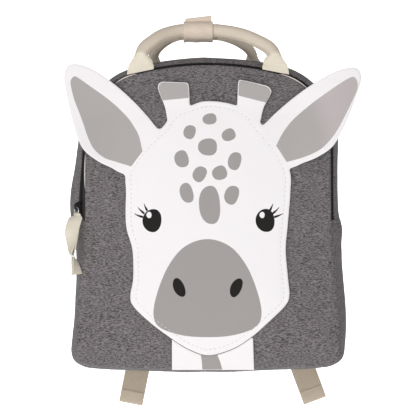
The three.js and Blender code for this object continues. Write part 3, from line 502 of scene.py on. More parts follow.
    def ear_axis(self, ear):
        side, across, down, lean, *_ = ear
        root = np.array([
            self.size.face_shift + side * across * self.size.face_width / 2,
            self.face_z - down * self.size.face_height,
        ])
        cos, sin = cosine_sine(lean)
        return root, np.array([side * cos, sin]), np.array([-side * sin, cos])

    def head_back(self, x, z):
        """The back face of the sewn head: on the front cloth, and free of it at the ears."""
        size = self.size
        share = self.reach(x, z)
        held = share < HEAD_HELD
        slope = -DOME_POWER * HEAD_HELD ** (DOME_POWER - 1)
        beyond = self.dome(HEAD_HELD) + slope * (share - HEAD_HELD)
        crown = np.where(held, self.dome(np.minimum(share, HEAD_HELD)), beyond)
        dent = self.dent(x, z) * (1 - np.minimum(share, 1) ** 6) * np.where(held, 1, 0.3)
        away = np.zeros_like(x)
        for ear in EARS:
            root, _, above = self.ear_axis(ear)
            aside = ((x - root[0]) * above[0] + (z - root[1]) * above[1]) / size.ear_width
            away = np.where((x - size.face_shift) * ear[0] > 0, aside, away)
        off = np.abs(x - size.face_shift)
        free = smoothstep(off, size.face_width * 0.44, size.face_width * 0.9)
        high = smoothstep(z, self.face_z - size.face_height * 0.3, self.face_z)
        ear_off = free * (size.ear_lift + size.ear_curl * np.minimum(4 * away**2, 1.6))
        tall = size.face_height
        rise = smoothstep(z, self.face_z - 0.06 * tall, self.face_z + 0.1 * tall)
        horn_off = size.horn_lift * rise * (1 - free) * high
        return self.front_at(z, crown - dent) - size.applique_gap - ear_off - horn_off

    # Outlines of the head, seen from the front

    def face_line(self):
        size = self.size
        rows = np.array(FACE_ROWS)
        z = self.face_z - rows[:, 0] * size.face_height
        right = spots(size.face_shift + rows[:, 2] * size.face_width / 2, z)
        left = spots(size.face_shift - rows[:, 1] * size.face_width / 2, z)[::-1]
        top = np.array([[size.face_shift, self.face_z]])
        chin = np.array([[size.face_shift, self.face_z - size.face_height]])
        return through(np.vstack([top, right, chin, left, top]), 8)[:-1]

    def ear_line(self, ear):
        root, along, above = self.ear_axis(ear)
        rows = np.array(EAR_ROWS)

        def place(share, away):
            out, wide = np.outer(share, along) * self.size.ear_length, ear[4] * self.size.ear_width
            return root + out + np.outer(away, above) * wide

        upper = place(rows[:, 0], rows[:, 1])
        lower = place(rows[:, 0], -rows[:, 2])[::-1]
        foot = place([-0.16], [0])
        tip = place([1.01], [0.06])
        return through(np.vstack([foot, upper, tip, lower, foot]), 8)[:-1]

    def ear_inside(self, ear):
        root, along, above = self.ear_axis(ear)
        rows = through(ear[5], 5)
        out = np.outer(rows[:, 0], along) * self.size.ear_length
        return root + out + np.outer(rows[:, 1], above) * self.size.ear_width

    def horn_line(self, side, inset=0.0):
        size = self.size
        middle = size.face_shift + size.horn_shift + side * size.horn_spread
        root_z = self.face_z - 0.083 * size.face_height
        rows = through(HORN_ROWS, 4)

        def edge(away):
            fall = HORN_FALL[side] * away * size.horn_width
            wide = np.where(away > 0, HORN_SPREAD[side], 1) * size.horn_width
            x = middle + side * (away * wide - np.sign(away) * inset)
            return spots(x, root_z + rows[:, 0] * (size.horn_height - fall) - inset)

        foot = np.array([[middle, root_z - 0.25 * size.horn_height]])
        return np.vstack([foot, edge(rows[:, 2]), edge(-rows[:, 1])[::-1]])


# Pieces from points


def grid_faces(rows, columns, ring_rows=False, ring_columns=False):
    r = np.arange(rows if ring_rows else rows - 1)
    c = np.arange(columns if ring_columns else columns - 1)
    i, j = np.meshgrid(r, c, indexing="ij")
    below, aside = (i + 1) % rows, (j + 1) % columns
    here, below = i * columns, below * columns
    return spots(here + j, below + j, below + aside, here + aside).reshape(-1, 4)


class Workpiece:
    """Gathers the points and faces of one piece before it becomes an object."""

    def __init__(self):
        self.points, self.faces, self.finishes, self.lays = [], [], [], []
        self.count = 0

    def add(self, points, faces, finish=0, lay=None):
        points = np.asarray(points, float).reshape(-1, 3)
        faces = [[int(k) + self.count for k in face] for face in faces]
        self.points.append(points)
        self.faces += faces
        self.finishes += list(finish) if np.ndim(finish) else [finish] * len(faces)
        lay = np.zeros_like(points) if lay is None else np.asarray(lay, float)
        self.lays.append(lay.reshape(-1, 3))
        self.count += len(points)

    def loft(self, loops, finish=0, lay=None, ring=False):
        """A closed body through equal loops, with a cap at each end or round to its start."""
        rows, sides = loops.shape[:2]
        faces = grid_faces(rows, sides, ring, True).tolist()
        points = loops.reshape(-1, 3)
        lays = np.zeros_like(points) if lay is None else np.asarray(lay).reshape(-1, 3)
        if not ring:
            points = np.vstack([points, loops[0].mean(axis=0), loops[-1].mean(axis=0)])
            lays = np.vstack([lays, lays[:sides].mean(axis=0), lays[-sides:].mean(axis=0)])
            first, last = rows * sides, (rows - 1) * sides
            for k in range(sides):
                after = (k + 1) % sides
                faces.append([first, after, k])
                faces.append([first + 1, last + k, last + after])
        self.add(points, faces, finish, lays)

    def dish(self, loops):
        """A closed body through loops that run from one middle over the rim to the other."""
        around, count = loops.shape[:2]
        faces = grid_faces(around, count, True, False).tolist()
        first, last = around * count, around * count + 1
        for k in range(around):
            here, after = k * count, (k + 1) % around * count
            faces.append([first, after, here])
            faces.append([last, here + count - 1, after + count - 1])
        middles = loops[:, 0].mean(axis=0), loops[:, -1].mean(axis=0)
        self.add(np.vstack([loops.reshape(-1, 3), *middles]), faces)

    def band(self, path, across, width, wall, power, sides, finish=0):
        """A band or cord along a path, with the lay of its weave."""
        loops, lay = sweep(path, across, width, wall, power, sides)
        self.loft(loops, finish, lay)

    def scatter(self, shape, faces, places, finish=0):
        """Copies of one small shape; each place is an origin and three axes."""
        shape = np.asarray(shape)
        for origin, *axes in places:
            self.add(origin + shape @ np.array(axes), faces, finish)

    def make(self, name, *finishes):
        mesh = bpy.data.meshes.new(name)
        mesh.from_pydata(np.vstack(self.points).tolist(), [], self.faces)
        for finish in finishes:
            mesh.materials.append(finish)
        mesh.polygons.foreach_set("material_index", self.finishes)
        lay = mesh.attributes.new("lay", "FLOAT_VECTOR", "POINT")
        lay.data.foreach_set("vector", np.vstack(self.lays).ravel())
        body = bmesh.new()
        body.from_mesh(mesh)
        bmesh.ops.recalc_face_normals(body, faces=body.faces)
        body.to_mesh(mesh)
        body.free()
        mesh.shade_smooth()
        piece = bpy.data.objects.new(name, mesh)
        bpy.context.scene.collection.objects.link(piece)
        return piece


def shell(outer, inner, steps=4):
    """Loops round a cloth between an outer and an inner face, with rounded edges.

    Both faces are grids of places; each loop runs over one row of the outer face and back
    over the same row of the inner face.
    """

    def edge(a, b, towards):
        angle = np.linspace(0, np.pi, steps + 2)[1:-1]
        middle, half = (a + b) / 2, (a - b) / 2
        push = unit(towards) * np.linalg.norm(half, axis=-1, keepdims=True)
        return np.stack([middle + half * math.cos(t) + push * math.sin(t) for t in angle], axis=1)

    last = edge(outer[:, -1], inner[:, -1], outer[:, -1] - outer[:, -2])
    first = edge(inner[:, 0], outer[:, 0], outer[:, 0] - outer[:, 1])
    return np.concatenate([outer, last, inner[:, ::-1], first], axis=1)


def sweep(path, across, width, wall, power=1.0, sides=24, dents=None):
    """Loops round a path. Power 1 is round, and a small power is a flat band."""
    tangent = unit(np.gradient(path, axis=0))
    across = unit(across - tangent * np.sum(across * tangent, axis=1, keepdims=True))
    outward = np.cross(tangent, across)
    angle = 2 * np.pi * (np.arange(sides) + 0.5) / sides
    count = len(path)
    power, width, wall = (np.broadcast_to(k, count)[:, None] for k in (power, width, wall))
    a = squared(np.cos(angle)[None], power) * width / 2
    b = squared(np.sin(angle)[None], power) * wall / 2
    if dents is not None:
        grow = 1 + dents(np.arange(count)[:, None] / (count - 1), angle[None])
        a, b = a * grow, b * grow
    loops = path[:, None] + a[..., None] * across[:, None] + b[..., None] * outward[:, None]
    travel = np.broadcast_to(travelled(path)[:, None], a.shape)
    lay = spots(a, travel, b)
    return loops, lay


def stitch_shape(length, radius, sides=6, steps=5):
    """One stitch as a small bowed thread, along its first axis."""
    angle = turns(sides)
    along = np.linspace(-1, 1, steps)
    loops = []
    for share in along:
        thick = radius * math.sqrt(max(1 - share**2, 0.04))
        lift = radius * 0.8 * (1 - share**2) - radius * 0.5
        loops.append(np.stack([
            np.full(sides, share * length / 2),
            np.cos(angle) * thick,
            np.sin(angle) * thick + lift,
        ], axis=1))
    faces = grid_faces(steps, sides, False, True).tolist()
    faces += [list(range(sides)), list(range((steps - 1) * sides, steps * sides))]
    return np.vstack(loops), faces


def finish_piece(piece, slot, *nodes):
    """A finished piece hangs on the bag and stands for the solids that it replaces."""
    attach(piece, "root")
    if nodes:
        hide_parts(*nodes)


def vertex_places(mesh):
    places = np.empty(len(mesh.vertices) * 3)
    mesh.vertices.foreach_get("co", places)
    return places.reshape(-1, 3)


def place_vertices(mesh, places):
    mesh.vertices.foreach_set("co", places.ravel())
    mesh.update()


def swell(piece, voxel, pressure, cap, levels=1):
    """Remeshes a padded piece and lets pressure fill it, as its padding does.

    No place moves further than the cap.
    """
    remesh = piece.modifiers.new("Remesh", "REMESH")
    remesh.mode = "VOXEL"
    remesh.voxel_size = voxel
    remesh.use_smooth_shade = True
    apply_modifiers(piece)
    before = vertex_places(piece.data)
    cloth = piece.modifiers.new("Cloth", "CLOTH")
    cloth.settings.use_pressure = True
    cloth.settings.uniform_pressure_force = pressure
    cloth.settings.effector_weights.gravity = 0
    cloth.settings.tension_stiffness = 25
    cloth.settings.compression_stiffness = 25
    cloth.point_cache.frame_start = 1
    cloth.point_cache.frame_end = FILLING_STEPS
    for step in range(FILLING_STEPS):
        bpy.context.scene.frame_set(step + 1)
    filled = piece.evaluated_get(bpy.context.evaluated_depsgraph_get())
    move = vertex_places(filled.to_mesh()) - before
    piece.modifiers.remove(cloth)
    far = np.linalg.norm(move, axis=1, keepdims=True)
    move *= np.minimum(1, cap / np.maximum(far, 1e-9))
    place_vertices(piece.data, before + move)
    smooth = piece.modifiers.new("Smooth", "SMOOTH")
    smooth.factor = 0.5
    smooth.iterations = 4
    subdivide = piece.modifiers.new("Subdivide", "SUBSURF")
    subdivide.levels = subdivide.render_levels = levels
    apply_modifiers(piece)
    bpy.context.scene.frame_set(1)


def apply_modifiers(piece):
    """Replaces a piece's mesh by the one that its modifiers give."""
    graph = bpy.context.evaluated_depsgraph_get()
    mesh = bpy.data.meshes.new_from_object(piece.evaluated_get(graph))
    finishes = list(piece.data.materials)
    piece.modifiers.clear()
    piece.data = mesh
    mesh.materials.clear()
    for finish in finishes:
        mesh.materials.append(finish)
    mesh.shade_smooth()


# Finishes


class Amount:
    """A socket of a finish, so that its maths is written as a formula."""

    def __init__(self, finish, socket):
        self.finish, self.socket = finish, socket

    def __add__(self, other):
        return self.finish.maths("ADD", self, other)

    __radd__ = __add__

    def __mul__(self, other):
        return self.finish.maths("MULTIPLY", self, other)

    __rmul__ = __mul__

    def __sub__(self, other):
        return self.finish.maths("SUBTRACT", self, other)

    def __rsub__(self, other):
        return self.finish.maths("SUBTRACT", other, self)

    def wave(self):
        return self.finish.maths("SINE", self)

    def step(self, low, high):
        settings = {"interpolation_type": "SMOOTHSTEP"}
        inputs = {"Value": self, "From Min": low, "From Max": high}
        return self.finish.node("ShaderNodeMapRange", settings, inputs)


# Sockets of a Mix node for colours
COLOUR_A, COLOUR_B, COLOUR_RESULT = 6, 7, 2


class Finish:
    """One material, made of a surface shader and what varies over it."""

    def __init__(self, name, **constants):
        self.material = bpy.data.materials.new(name)
        self.material.use_nodes = True
        self.tree = self.material.node_tree
        self.surface = next(n for n in self.tree.nodes if n.type == "BSDF_PRINCIPLED")
        for socket, value in constants.items():
            self.surface.inputs[socket.replace("_", " ")].default_value = value

    def node(self, kind, settings=None, inputs=None, output=0):
        node = self.tree.nodes.new(kind)
        for key, value in (settings or {}).items():
            setattr(node, key, value)
        for key, value in (inputs or {}).items():
            self.feed(node.inputs[key], value)
        return Amount(self, node.outputs[output])

    def feed(self, socket, value):
        if isinstance(value, Amount):
            self.tree.links.new(value.socket, socket)
        else:
            socket.default_value = value

    def maths(self, operation, *values):
        return self.node("ShaderNodeMath", {"operation": operation}, dict(enumerate(values)))

    def place(self, stretch):
        """The place on the object, stretched along each axis."""
        spot = self.node("ShaderNodeTexCoord", output="Object")
        stretch = stretch if np.ndim(stretch) else (stretch,) * 3
        return self.node("ShaderNodeVectorMath", {"operation": "MULTIPLY"}, {0: spot, 1: stretch})

    def lay(self):
        """The way across a band and along it, in metres."""
        spot = self.node("ShaderNodeAttribute", {"attribute_name": "lay"}, output="Vector")
        apart = self.node("ShaderNodeSeparateXYZ", inputs={0: spot})
        return apart, Amount(self, apart.socket.node.outputs[1])

    def noise(self, stretch, detail, roughness):
        """Noise with its grains per metre, one number or one for each axis."""
        place = self.place(stretch)
        inputs = {"Vector": place, "Scale": 1, "Detail": detail, "Roughness": roughness}
        return self.node("ShaderNodeTexNoise", inputs=inputs)

    def mix(self, share, first, second):
        first, second = (c if isinstance(c, Amount) else (*c, 1) for c in (first, second))
        inputs = {0: share, COLOUR_A: first, COLOUR_B: second}
        return self.node("ShaderNodeMix", {"data_type": "RGBA"}, inputs, COLOUR_RESULT)

    def tones(self, share, colour, low, high):
        """A colour between a low and a high share of its light."""
        ends = (tuple(min(channel * k, 1) for channel in colour) for k in (low, high))
        return self.mix(share, *ends)

    def colour(self, value):
        self.feed(self.surface.inputs["Base Color"], value)

    def rough(self, value):
        self.feed(self.surface.inputs["Roughness"], value)

    def relief(self, height, strength, distance):
        inputs = {"Height": height, "Strength": strength, "Distance": distance}
        bump = self.node("ShaderNodeBump", inputs=inputs)
        self.feed(self.surface.inputs["Normal"], bump)


def marl_finish(name, colour):
    """Heather cloth: light and dark fibres that run along the rows of the knit."""
    sheen = {"Sheen_Weight": 0.12, "Sheen_Roughness": 0.6}
    finish = Finish(name, Roughness=0.95, Specular_IOR_Level=0.15, **sheen)
    fleck = finish.noise((380, 230, 1400), 3, 0.7)
    fibre = finish.noise((1500, 900, 2800), 2, 0.6)
    patch = finish.noise(60, 2, 0.5)
    share = fleck.step(0.37, 0.63) * 0.68 + fibre.step(0.36, 0.64) * 0.22 + patch * 0.1
    finish.colour(finish.tones(share, colour, 0.14, 2.2))
    weave = finish.noise((2100, 2100, 4200), 1, 0.5)
    finish.rough(0.88 + share * 0.1)
    finish.relief(weave * 0.6 + fleck * 0.6, 0.5, 0.0004)
    return finish.material


def canvas_finish(name, colour, wear=0.0, fold=None):
    """Smooth printed canvas with a fine plain weave; past a given fold line it is painted lighter,
    as painted light on the far side of a soft fold.
    """
    finish = Finish(name, Roughness=0.85, Sheen_Weight=0.05, Specular_IOR_Level=0.2)
    warp = finish.noise((4200, 4200, 700), 1, 0.5)
    weft = finish.noise((700, 700, 4200), 1, 0.5)
    cloud = finish.noise(45, 3, 0.55)
    share = warp * 0.35 + weft * 0.35 + cloud * 0.3
    shade = finish.tones(share, colour, 0.955 - wear, 1.03)
    # Painted light: past the fold line across the right ear the colour turns lighter, standing in
    # for light on the ear's outer part; no fold is built
    if fold:
        leaning = finish.place((0.963, 1, 0.268))
        across = finish.node("ShaderNodeSeparateXYZ", inputs={0: leaning})
        upward = Amount(finish, across.socket.node.outputs["Z"])
        beyond = (across + upward + cloud * 0.004).step(*fold)
        painted_light = tuple(min(c * k, 1) for c, k in zip(colour, (1.16, 1.12, 1.14)))
        shade = finish.mix(beyond, shade, painted_light)
    finish.colour(shade)
    finish.rough(0.8 + cloud * 0.12)
    finish.relief(warp + weft, 0.35, 0.00025)
    return finish.material


def band_finish(name, colour, rib, contrast=0.1, relief=0.6):
    """Woven band: ribs across it and threads along it."""
    finish = Finish(name, Roughness=0.9, Sheen_Weight=0.1, Specular_IOR_Level=0.18)
    across, along = finish.lay()
    ribs = (along * (2 * math.pi / rib)).wave() * 0.5 + 0.5
    threads = (across * (2 * math.pi / (rib * 0.8))).wave() * 0.5 + 0.5
    fuzz = finish.noise(900, 3, 0.6)
    cloud = finish.noise(70, 2, 0.5)
    share = ribs * threads * 0.4 + fuzz * 0.35 + cloud * 0.25
    finish.colour(finish.tones(share, colour, 1 - contrast * 1.4, 1 + contrast))
    finish.rough(0.84 + fuzz * 0.12)
    finish.relief(ribs * 0.7 + ribs * threads * 0.5 + fuzz * 0.3, relief, 0.0003)
    return finish.material


def cotton_finish(name, colour):
    """Soft plain cotton."""
    finish = Finish(name, Roughness=0.92, Sheen_Weight=0.12, Specular_IOR_Level=0.15)
    threads = finish.noise((2600, 900, 2600), 2, 0.6)
    cloud = finish.noise(120, 3, 0.55)
    finish.colour(finish.tones(threads * 0.5 + cloud * 0.5, colour, 0.9, 1.06))
    finish.rough(0.86 + cloud * 0.1)
    finish.relief(threads + cloud * 2, 0.4, 0.0003)
    return finish.material


def moulded_finish(name, colour, roughness, grain, gloss=0.5):
    """Plastic, nylon or enamel with a fine grain and small rubbed places."""
    finish = Finish(name, Specular_IOR_Level=gloss)
    fine = finish.noise(grain, 3, 0.6)
    worn = finish.noise(260, 4, 0.65).step(0.56, 0.72)
    finish.colour(finish.tones(fine * 0.6 + worn * 0.4, colour, 0.8, 1.5))
    finish.rough(roughness + worn * 0.15 + fine * 0.08)
    finish.relief(fine, 0.25, 0.0001)
    return finish.material


def steel_finish(name, colour):
    """Bright drawn wire."""
    finish = Finish(name, Metallic=1.0)
    draw = finish.noise((500, 500, 4000), 2, 0.5)
    finish.colour(finish.tones(draw, colour, 0.8, 1.1))
    finish.rough(0.22 + draw * 0.15)
    finish.relief(draw, 0.2, 0.00005)
    return finish.material


# Sizes and colours that a user would change


def number(name, default, description, **kind):
    return bpy.props.FloatProperty(name=name, description=description, default=default, **kind)


def length(name, default, description):
    return number(name, default, description, unit="LENGTH", precision=4)


def tint(name, default, description):
    return bpy.props.FloatVectorProperty(
        name=name, description=description, default=default, subtype="COLOR", size=3, min=0, max=1)


class BackpackSizes(PropertyGroup):
    """Sizes of the bag, its head, handles and straps."""

    bag_height: length("Bag height", 0.303, "Front seam, crown to base")
    bag_width: length("Bag width", 0.263, "Front seam across the lower sides")
    waist_width: length("Waist width", 0.246, "Front seam at the zip's ends")
    shoulder_width: length("Shoulder width", 0.245, "Where the rounded top ends")
    crown_radius: length("Crown radius", 0.29, "Gentle arch of the top")
    corner_radius: length("Corner radius", 0.068, "Rounded top corners")
    base_corner_radius: length("Base corner radius", 0.017, "Rounding at the base")
    base_rise: length("Base rise", 0.003, "Lift of the base's corners")
    depth_top: length("Depth at the top", 0.08, "Bag depth at the crown")
    depth_base: length("Depth at the base", 0.102, "Bag depth at the base")
    back_plane: length("Back plane", 0.044, "Back seam behind the hang point")
    hang_drop: length("Hang drop", 0.0235, "Hang point down to the crown")
    cloth_wall: length("Cloth thickness", 0.002, "Thickness of the lined cloth")
    seam_gap: length("Seam gap", 0.0003, "Room between sewn pieces")
    side_bulge: length("Side bulge", 0.008, "The side cloth's rounding")
    base_bulge: length("Base bulge", 0.0046, "The same under the base")
    front_dome: length("Front dome", 0.013, "Crown of the front cloth")
    back_dome: length("Back dome", 0.005, "Crown of the back")
    back_pad: length("Back padding", 0.008, "Thickness of the padded back")
    zip_width: length("Zip width", 0.01, "Both tapes and the coil")
    zip_sink: length("Zip sink", 0.0024, "Tape below the cloth over the top")
    zip_side_sink: length("Zip side sink", 0.0009, "The same down the sides")
    zip_end_drop: length("Zip end drop", 0.1565, "Crown down to the zip's ends")
    tooth_pitch: length("Coil pitch", 0.0013, "Between the coil's turns")
    face_height: length("Face height", 0.254, "Top of the forehead to the chin")
    face_width: length("Face width", 0.165, "Across the cheeks")
    face_top_drop: length("Face top drop", 0.036, "Crown down to the forehead")
    face_shift: length("Face shift", 0.0005, "The face, right of the middle")
    ear_length: length("Ear length", 0.112, "Root to tip")
    ear_width: length("Ear width", 0.068, "Across the widest place")
    ear_lift: length("Ear lift", 0.013, "The ears' stand off the bag")
    ear_curl: length("Ear curl", 0.004, "The ears' edges, turned forward")
    horn_height: length("Horn height", 0.04, "Root to tip")
    horn_width: length("Horn width", 0.036, "Across the tip")
    horn_shift: length("Horn shift", 0.005, "The horns, right of the face")
    horn_spread: length("Horn spread", 0.0375, "From there to each horn")
    horn_lift: length("Horn lift", 0.004, "The horns' stand off the bag")
    applique_wall: length("Head thickness", 0.0024, "Both layers of the sewn head")
    applique_gap: length("Head gap", 0.0005, "Room between the head and the front")
    stitch_inset: length("Stitch inset", 0.0055, "Seam to the face's edge")
    neck_width: length("Neck width", 0.081, "Across the neck")
    neck_shift: length("Neck shift", 0.0045, "The neck, right of the middle")
    neck_wall: length("Neck thickness", 0.0016, "Thickness of the neck")
    front_roll: length("Front roll", 0.0135, "Diameter of the front handle")
    rear_roll: length("Rear roll", 0.01, "Diameter of the rear handle")
    front_span: length("Front handle span", 0.135, "Between its sewn ends")
    rear_span: length("Rear handle span", 0.101, "Between its sewn ends")
    rear_shift: length("Rear handle shift", -0.005, "Its ends, right of the middle")
    front_rise: length("Front handle rise", 0.0426, "Seam to top line")
    rear_rise: length("Rear handle rise", 0.0348, "Seam to top line")
    handle_end_width: length("Handle end width", 0.027, "Flat sewn end of the webbing")
    handle_end_wall: length("Handle end thickness", 0.003, "Thickness of the flat end")
    roll_distance: length("Roll distance", 0.0128, "Between the two rolls in the wrap")
    wrap_width: length("Wrap width", 0.0275, "Along the handles")
    wrap_wall: length("Wrap thickness", 0.0016, "Thickness of the wrap")
    wrap_shift: length("Wrap shift", -0.0098, "The wrap, right of the middle")
    wrap_tab_height: length("Wrap tab height", 0.0065, "The end that stands on top")
    slider_height: length("Slider height", 0.009, "Along the zip")
    slider_width: length("Slider width", 0.007, "Across the zip")
    slider_wall: length("Slider thickness", 0.003, "Without its bridge")
    slider_lift: length("Slider lift", 0.0011, "Its stand off the coil")
    slider_drop: length("Slider drop", 0.1415, "Crown down to the slider")
    ring_radius: length("Ring radius", 0.0036, "Middle of the wire")
    ring_wire: length("Ring wire", 0.0012, "Diameter of the wire")
    pull_length: length("Pull length", 0.06, "Ring to end")
    pull_width: length("Pull width", 0.014, "Across the folded band")
    pull_wall: length("Pull thickness", 0.0012, "One layer of the pull")
    webbing_width: length("Webbing width", 0.024, "Across the strap's webbing")
    webbing_wall: length("Webbing thickness", 0.0016, "Thickness of the webbing")
    strap_width: length("Strap width", 0.046, "Across a padded strap")
    strap_wall: length("Strap thickness", 0.009, "Thickness of a padded strap")
    strap_top_spread: length("Strap top spread", 0.062, "Between the straps' sewn ends")
    strap_top_drop: length("Strap top drop", 0.022, "Crown down to those ends")
    strap_bow: length("Strap bow", 0.026, "A strap's arch off the back")
    buckle_height: length("Buckle height", 0.026, "Along the strap")
    buckle_bar: length("Buckle bar", 0.003, "Thickness of the buckle's bars")
    buckle_drop: length("Buckle drop", 0.21, "Crown down to the buckles")
    buckle_spread: length("Buckle spread", 0.12, "Between the buckles")
    tail_spread: length("Tail spread", 0.184, "Between the webbing's free ends")
    tail_reach: length("Tail reach", 0.036, "Those ends below the base")
    anchor_spread: length("Anchor spread", 0.196, "Between the webbing's sewn ends")
    anchor_rise: length("Anchor rise", 0.012, "Those ends above the base")
    hem_length: length("Hem length", 0.011, "Folded end of the webbing")


class BackpackColours(PropertyGroup):
    """Colours of the cloths, webbings and small parts."""

    marl: tint("Marl cloth", (0.134, 0.122, 0.125), "Heather grey of the bag")
    white: tint("White canvas", (0.9, 0.87, 0.88), "The giraffe's coat")
    print_grey: tint("Grey print", (0.37, 0.347, 0.34), "Muzzle and spots")
    print_pale: tint("Pale print", (0.44, 0.414, 0.407), "Insides of the ears, and the horns")
    print_black: tint("Black print", (0.016, 0.013, 0.013), "Eyes and nostrils")
    cream: tint("Cream webbing", (0.83, 0.76, 0.63), "Handles' flat ends and zip pull")
    roll: tint("Rolled webbing", (0.74, 0.645, 0.535), "Handles where they are rolled")
    wrap: tint("Wrap cotton", (0.745, 0.63, 0.525), "Soft wrap round the handles")
    beige: tint("Beige webbing", (0.64, 0.54, 0.425), "Webbing of the straps")
    zip_tape: tint("Zip tape", (0.006, 0.006, 0.006), "Woven tapes of the zip")
    # Painted shade: the front tape is brown-grey, coloured as the shaded lip of cloth beside the
    # seam
    zip_edge: tint("Zip edge", (0.038, 0.034, 0.032), "Front tape of the zip, next to the seam")
    coil: tint("Zip coil", (0.005, 0.005, 0.0055), "Nylon coil of the zip")
    enamel: tint("Slider enamel", (0.005, 0.005, 0.005), "Slider of the zip")
    plastic: tint("Buckle plastic", (0.02, 0.02, 0.022), "Strap buckles")
    steel: tint("Ring steel", (0.62, 0.62, 0.63), "Ring of the zip pull")
    lining: tint("Seam lining", (0.8, 0.76, 0.71), "Raw edge that shows along the front seam")
    thread: tint("Thread", (0.68, 0.66, 0.65), "Stitches of the head")


class BackpackStage(PropertyGroup):
    """Camera and light."""

    camera_distance: length("Camera distance", 12, "From the lens to the bag's front")
    camera_height: length("Camera height", -0.1665, "Height of the lens above the hang point")
    field: length("Field", 0.416, "Width of the view at the bag's front")
    floor_z: length("Floor height", -1.2, "Height of the floor below the hang point")
    wall_y: length("Wall distance", 13.5, "From the hang point back to the pale wall")
    world: number("Ambient light", 0.36, "Even light all round", subtype="FACTOR", min=0, max=1)
    key: number("Key light", 32.5, "Power of the large front light", subtype="POWER")
    top: number("Top light", 5, "Power of the light above", subtype="POWER")


# How each finish is made: its maker and what the maker takes after the name and the colour
RECIPES = {
    "marl": (marl_finish,),
    "white": (canvas_finish,),
    "print_grey": (canvas_finish, 0.03),
    # The pale print's third value is the line, in metres, past which painted light makes the right
    # ear lighter
    "print_pale": (canvas_finish, 0.03, (0.077, 0.104)),
    "print_black": (canvas_finish,),
    "cream": (band_finish, 0.0011),
    "roll": (band_finish, 0.0013, 0.09, 0.35),
    "wrap": (cotton_finish,),
    "beige": (band_finish, 0.0012, 0.14),
    "zip_tape": (band_finish, 0.0008, 0.25),
    # The front tape's finish paints the shade of the cloth's lip along the seam
    "zip_edge": (band_finish, 0.0008, 0.25),
    "coil": (moulded_finish, 0.6, 2500, 0.25),
    "enamel": (moulded_finish, 0.35, 1800, 0.35),
    "plastic": (moulded_finish, 0.45, 1500),
    "steel": (steel_finish,),
    "lining": (cotton_finish,),
    "thread": (cotton_finish,),
}


def shelf_finish(name):
    """A finish from the shelf, made once for all the pieces."""
    label = f"backpack_{name}"
    made = bpy.data.materials.get(label)
    if made is None:
        make, *values = RECIPES[name]
        made = make(label, getattr(bpy.context.scene.backpack_colours, name), *values)
    return made


class BackpackOperator:
    """What the operators share."""

    bl_options = {"REGISTER", "UNDO"}

    def execute(self, context):
        self.size = context.scene.backpack_sizes
        self.form = BagForm(self.size)
        self.build(self.form, self.size)
        return {"FINISHED"}

    def finish(self, *names):
        return [shelf_finish(name) for name in names]

    def hand_over(self, work, name, slot, node, *finishes):
        """Makes a piece and hangs it on the bag in place of its solid."""
        finish_piece(work.make(name, *self.finish(*finishes)), slot, node)


# Pieces of the bag


class BACKPACK_OT_front(BackpackOperator, Operator):
    """Sews the front cloth"""

    bl_idname = "backpack.front"
    bl_label = "Front Cloth"

    def folds(self, x, z):
        total = 0.22 * ripple(x, z, 3, 0.07) + 0.1 * ripple(x, z, 8, 0.024)
        for x0, z0, x1, z1, high, wide in FRONT_FOLDS:
            dx, dz = x1 - x0, z1 - z0
            share = np.clip(((x / MM - x0) * dx + (z / MM - z0) * dz) / (dx * dx + dz * dz), 0, 1)
            away = np.hypot(x / MM - x0 - share * dx, z / MM - z0 - share * dz)
            total = total - high * bell(away, wide) * (1 - 0.7 * share)
        return total * MM

    def lining(self, work):
        """Slivers of the lining that show along the seam."""
        form = self.form
        for start, end in SEAM_LININGS:
            share = np.linspace(start, end, 40)[:, None]
            wide = 1.1 * MM * np.sin(np.pi * np.linspace(0, 1, 40))[:, None] ** 0.5
            x, z = form.seam(share)
            nx, nz = form.normal(share)
            out = np.array([0, 1, 1, 0])[None] * wide + np.array([0.1, 0, 0, 0.1])[None] * MM
            y = form.front_plane(z) - np.array([1.5, 1.3, 0.9, 1.1])[None] * MM
            work.loft(spots(x + nx * out, y, z + nz * out), 1)

    def build(self, form, size):
        around = np.arange(560) / 560
        spoke = np.stack(form.seam(around), axis=1) - form.middle
        far = np.linalg.norm(spoke, axis=1)
        turned = 3.6 * MM
        rim = np.array([1, 0.7, 0.45, 0.25, 0.1, 0.02, 0]) * turned
        rings = 1 - (1 - np.linspace(0.02, 1, 64)) ** 1.35
        share = np.hstack([rings * (1 - turned / far[:, None]), 1 - rim[1:] / far[:, None]])
        x = form.middle[0] + spoke[:, :1] * share
        z = form.middle[1] + spoke[:, 1:] * share
        edge = (1 - share) * far[:, None]
        drop = 1 - rounded(edge, turned)
        calm = smoothstep(edge, 0, 12 * MM)
        gather = 0.14 * MM * np.sin(around * 2 * np.pi * 130)[:, None] * bell(edge - 5 * MM, 3 * MM)
        y = form.front(x, z) + drop * size.cloth_wall * 0.8 + self.folds(x, z) * calm + gather
        outer = spots(x, y, z)
        behind = np.maximum(form.front(x, z) + size.cloth_wall, y + 0.3 * MM)
        pick = np.linspace(0, x.shape[1] - 1, 14).astype(int)
        inner = spots(x, behind, z)[:, pick]
        work = Workpiece()
        work.dish(np.concatenate([outer, inner[:, ::-1]], axis=1))
        self.lining(work)
        self.hand_over(work, "front_cloth", "marl_cloth", "front_panel", "marl", "lining")


def side_cloth(form, start, end, front, wall, unrest):
    """Loops of a strip of side cloth between two shares of the seam."""
    share = np.linspace(start, end, 460)[:, None]
    z = form.seam(share)[1]
    depth = form.depth(z)
    across = 0.5 - 0.5 * np.cos(np.pi * np.linspace(0.03, 0.97, 36))[None]
    in_depth = blend(front, depth, across)
    sink = -unrest(share * form.length, in_depth)
    inner = form.side(share, in_depth, sink * 0.6 + wall)
    return shell(form.side(share, in_depth, sink), inner)


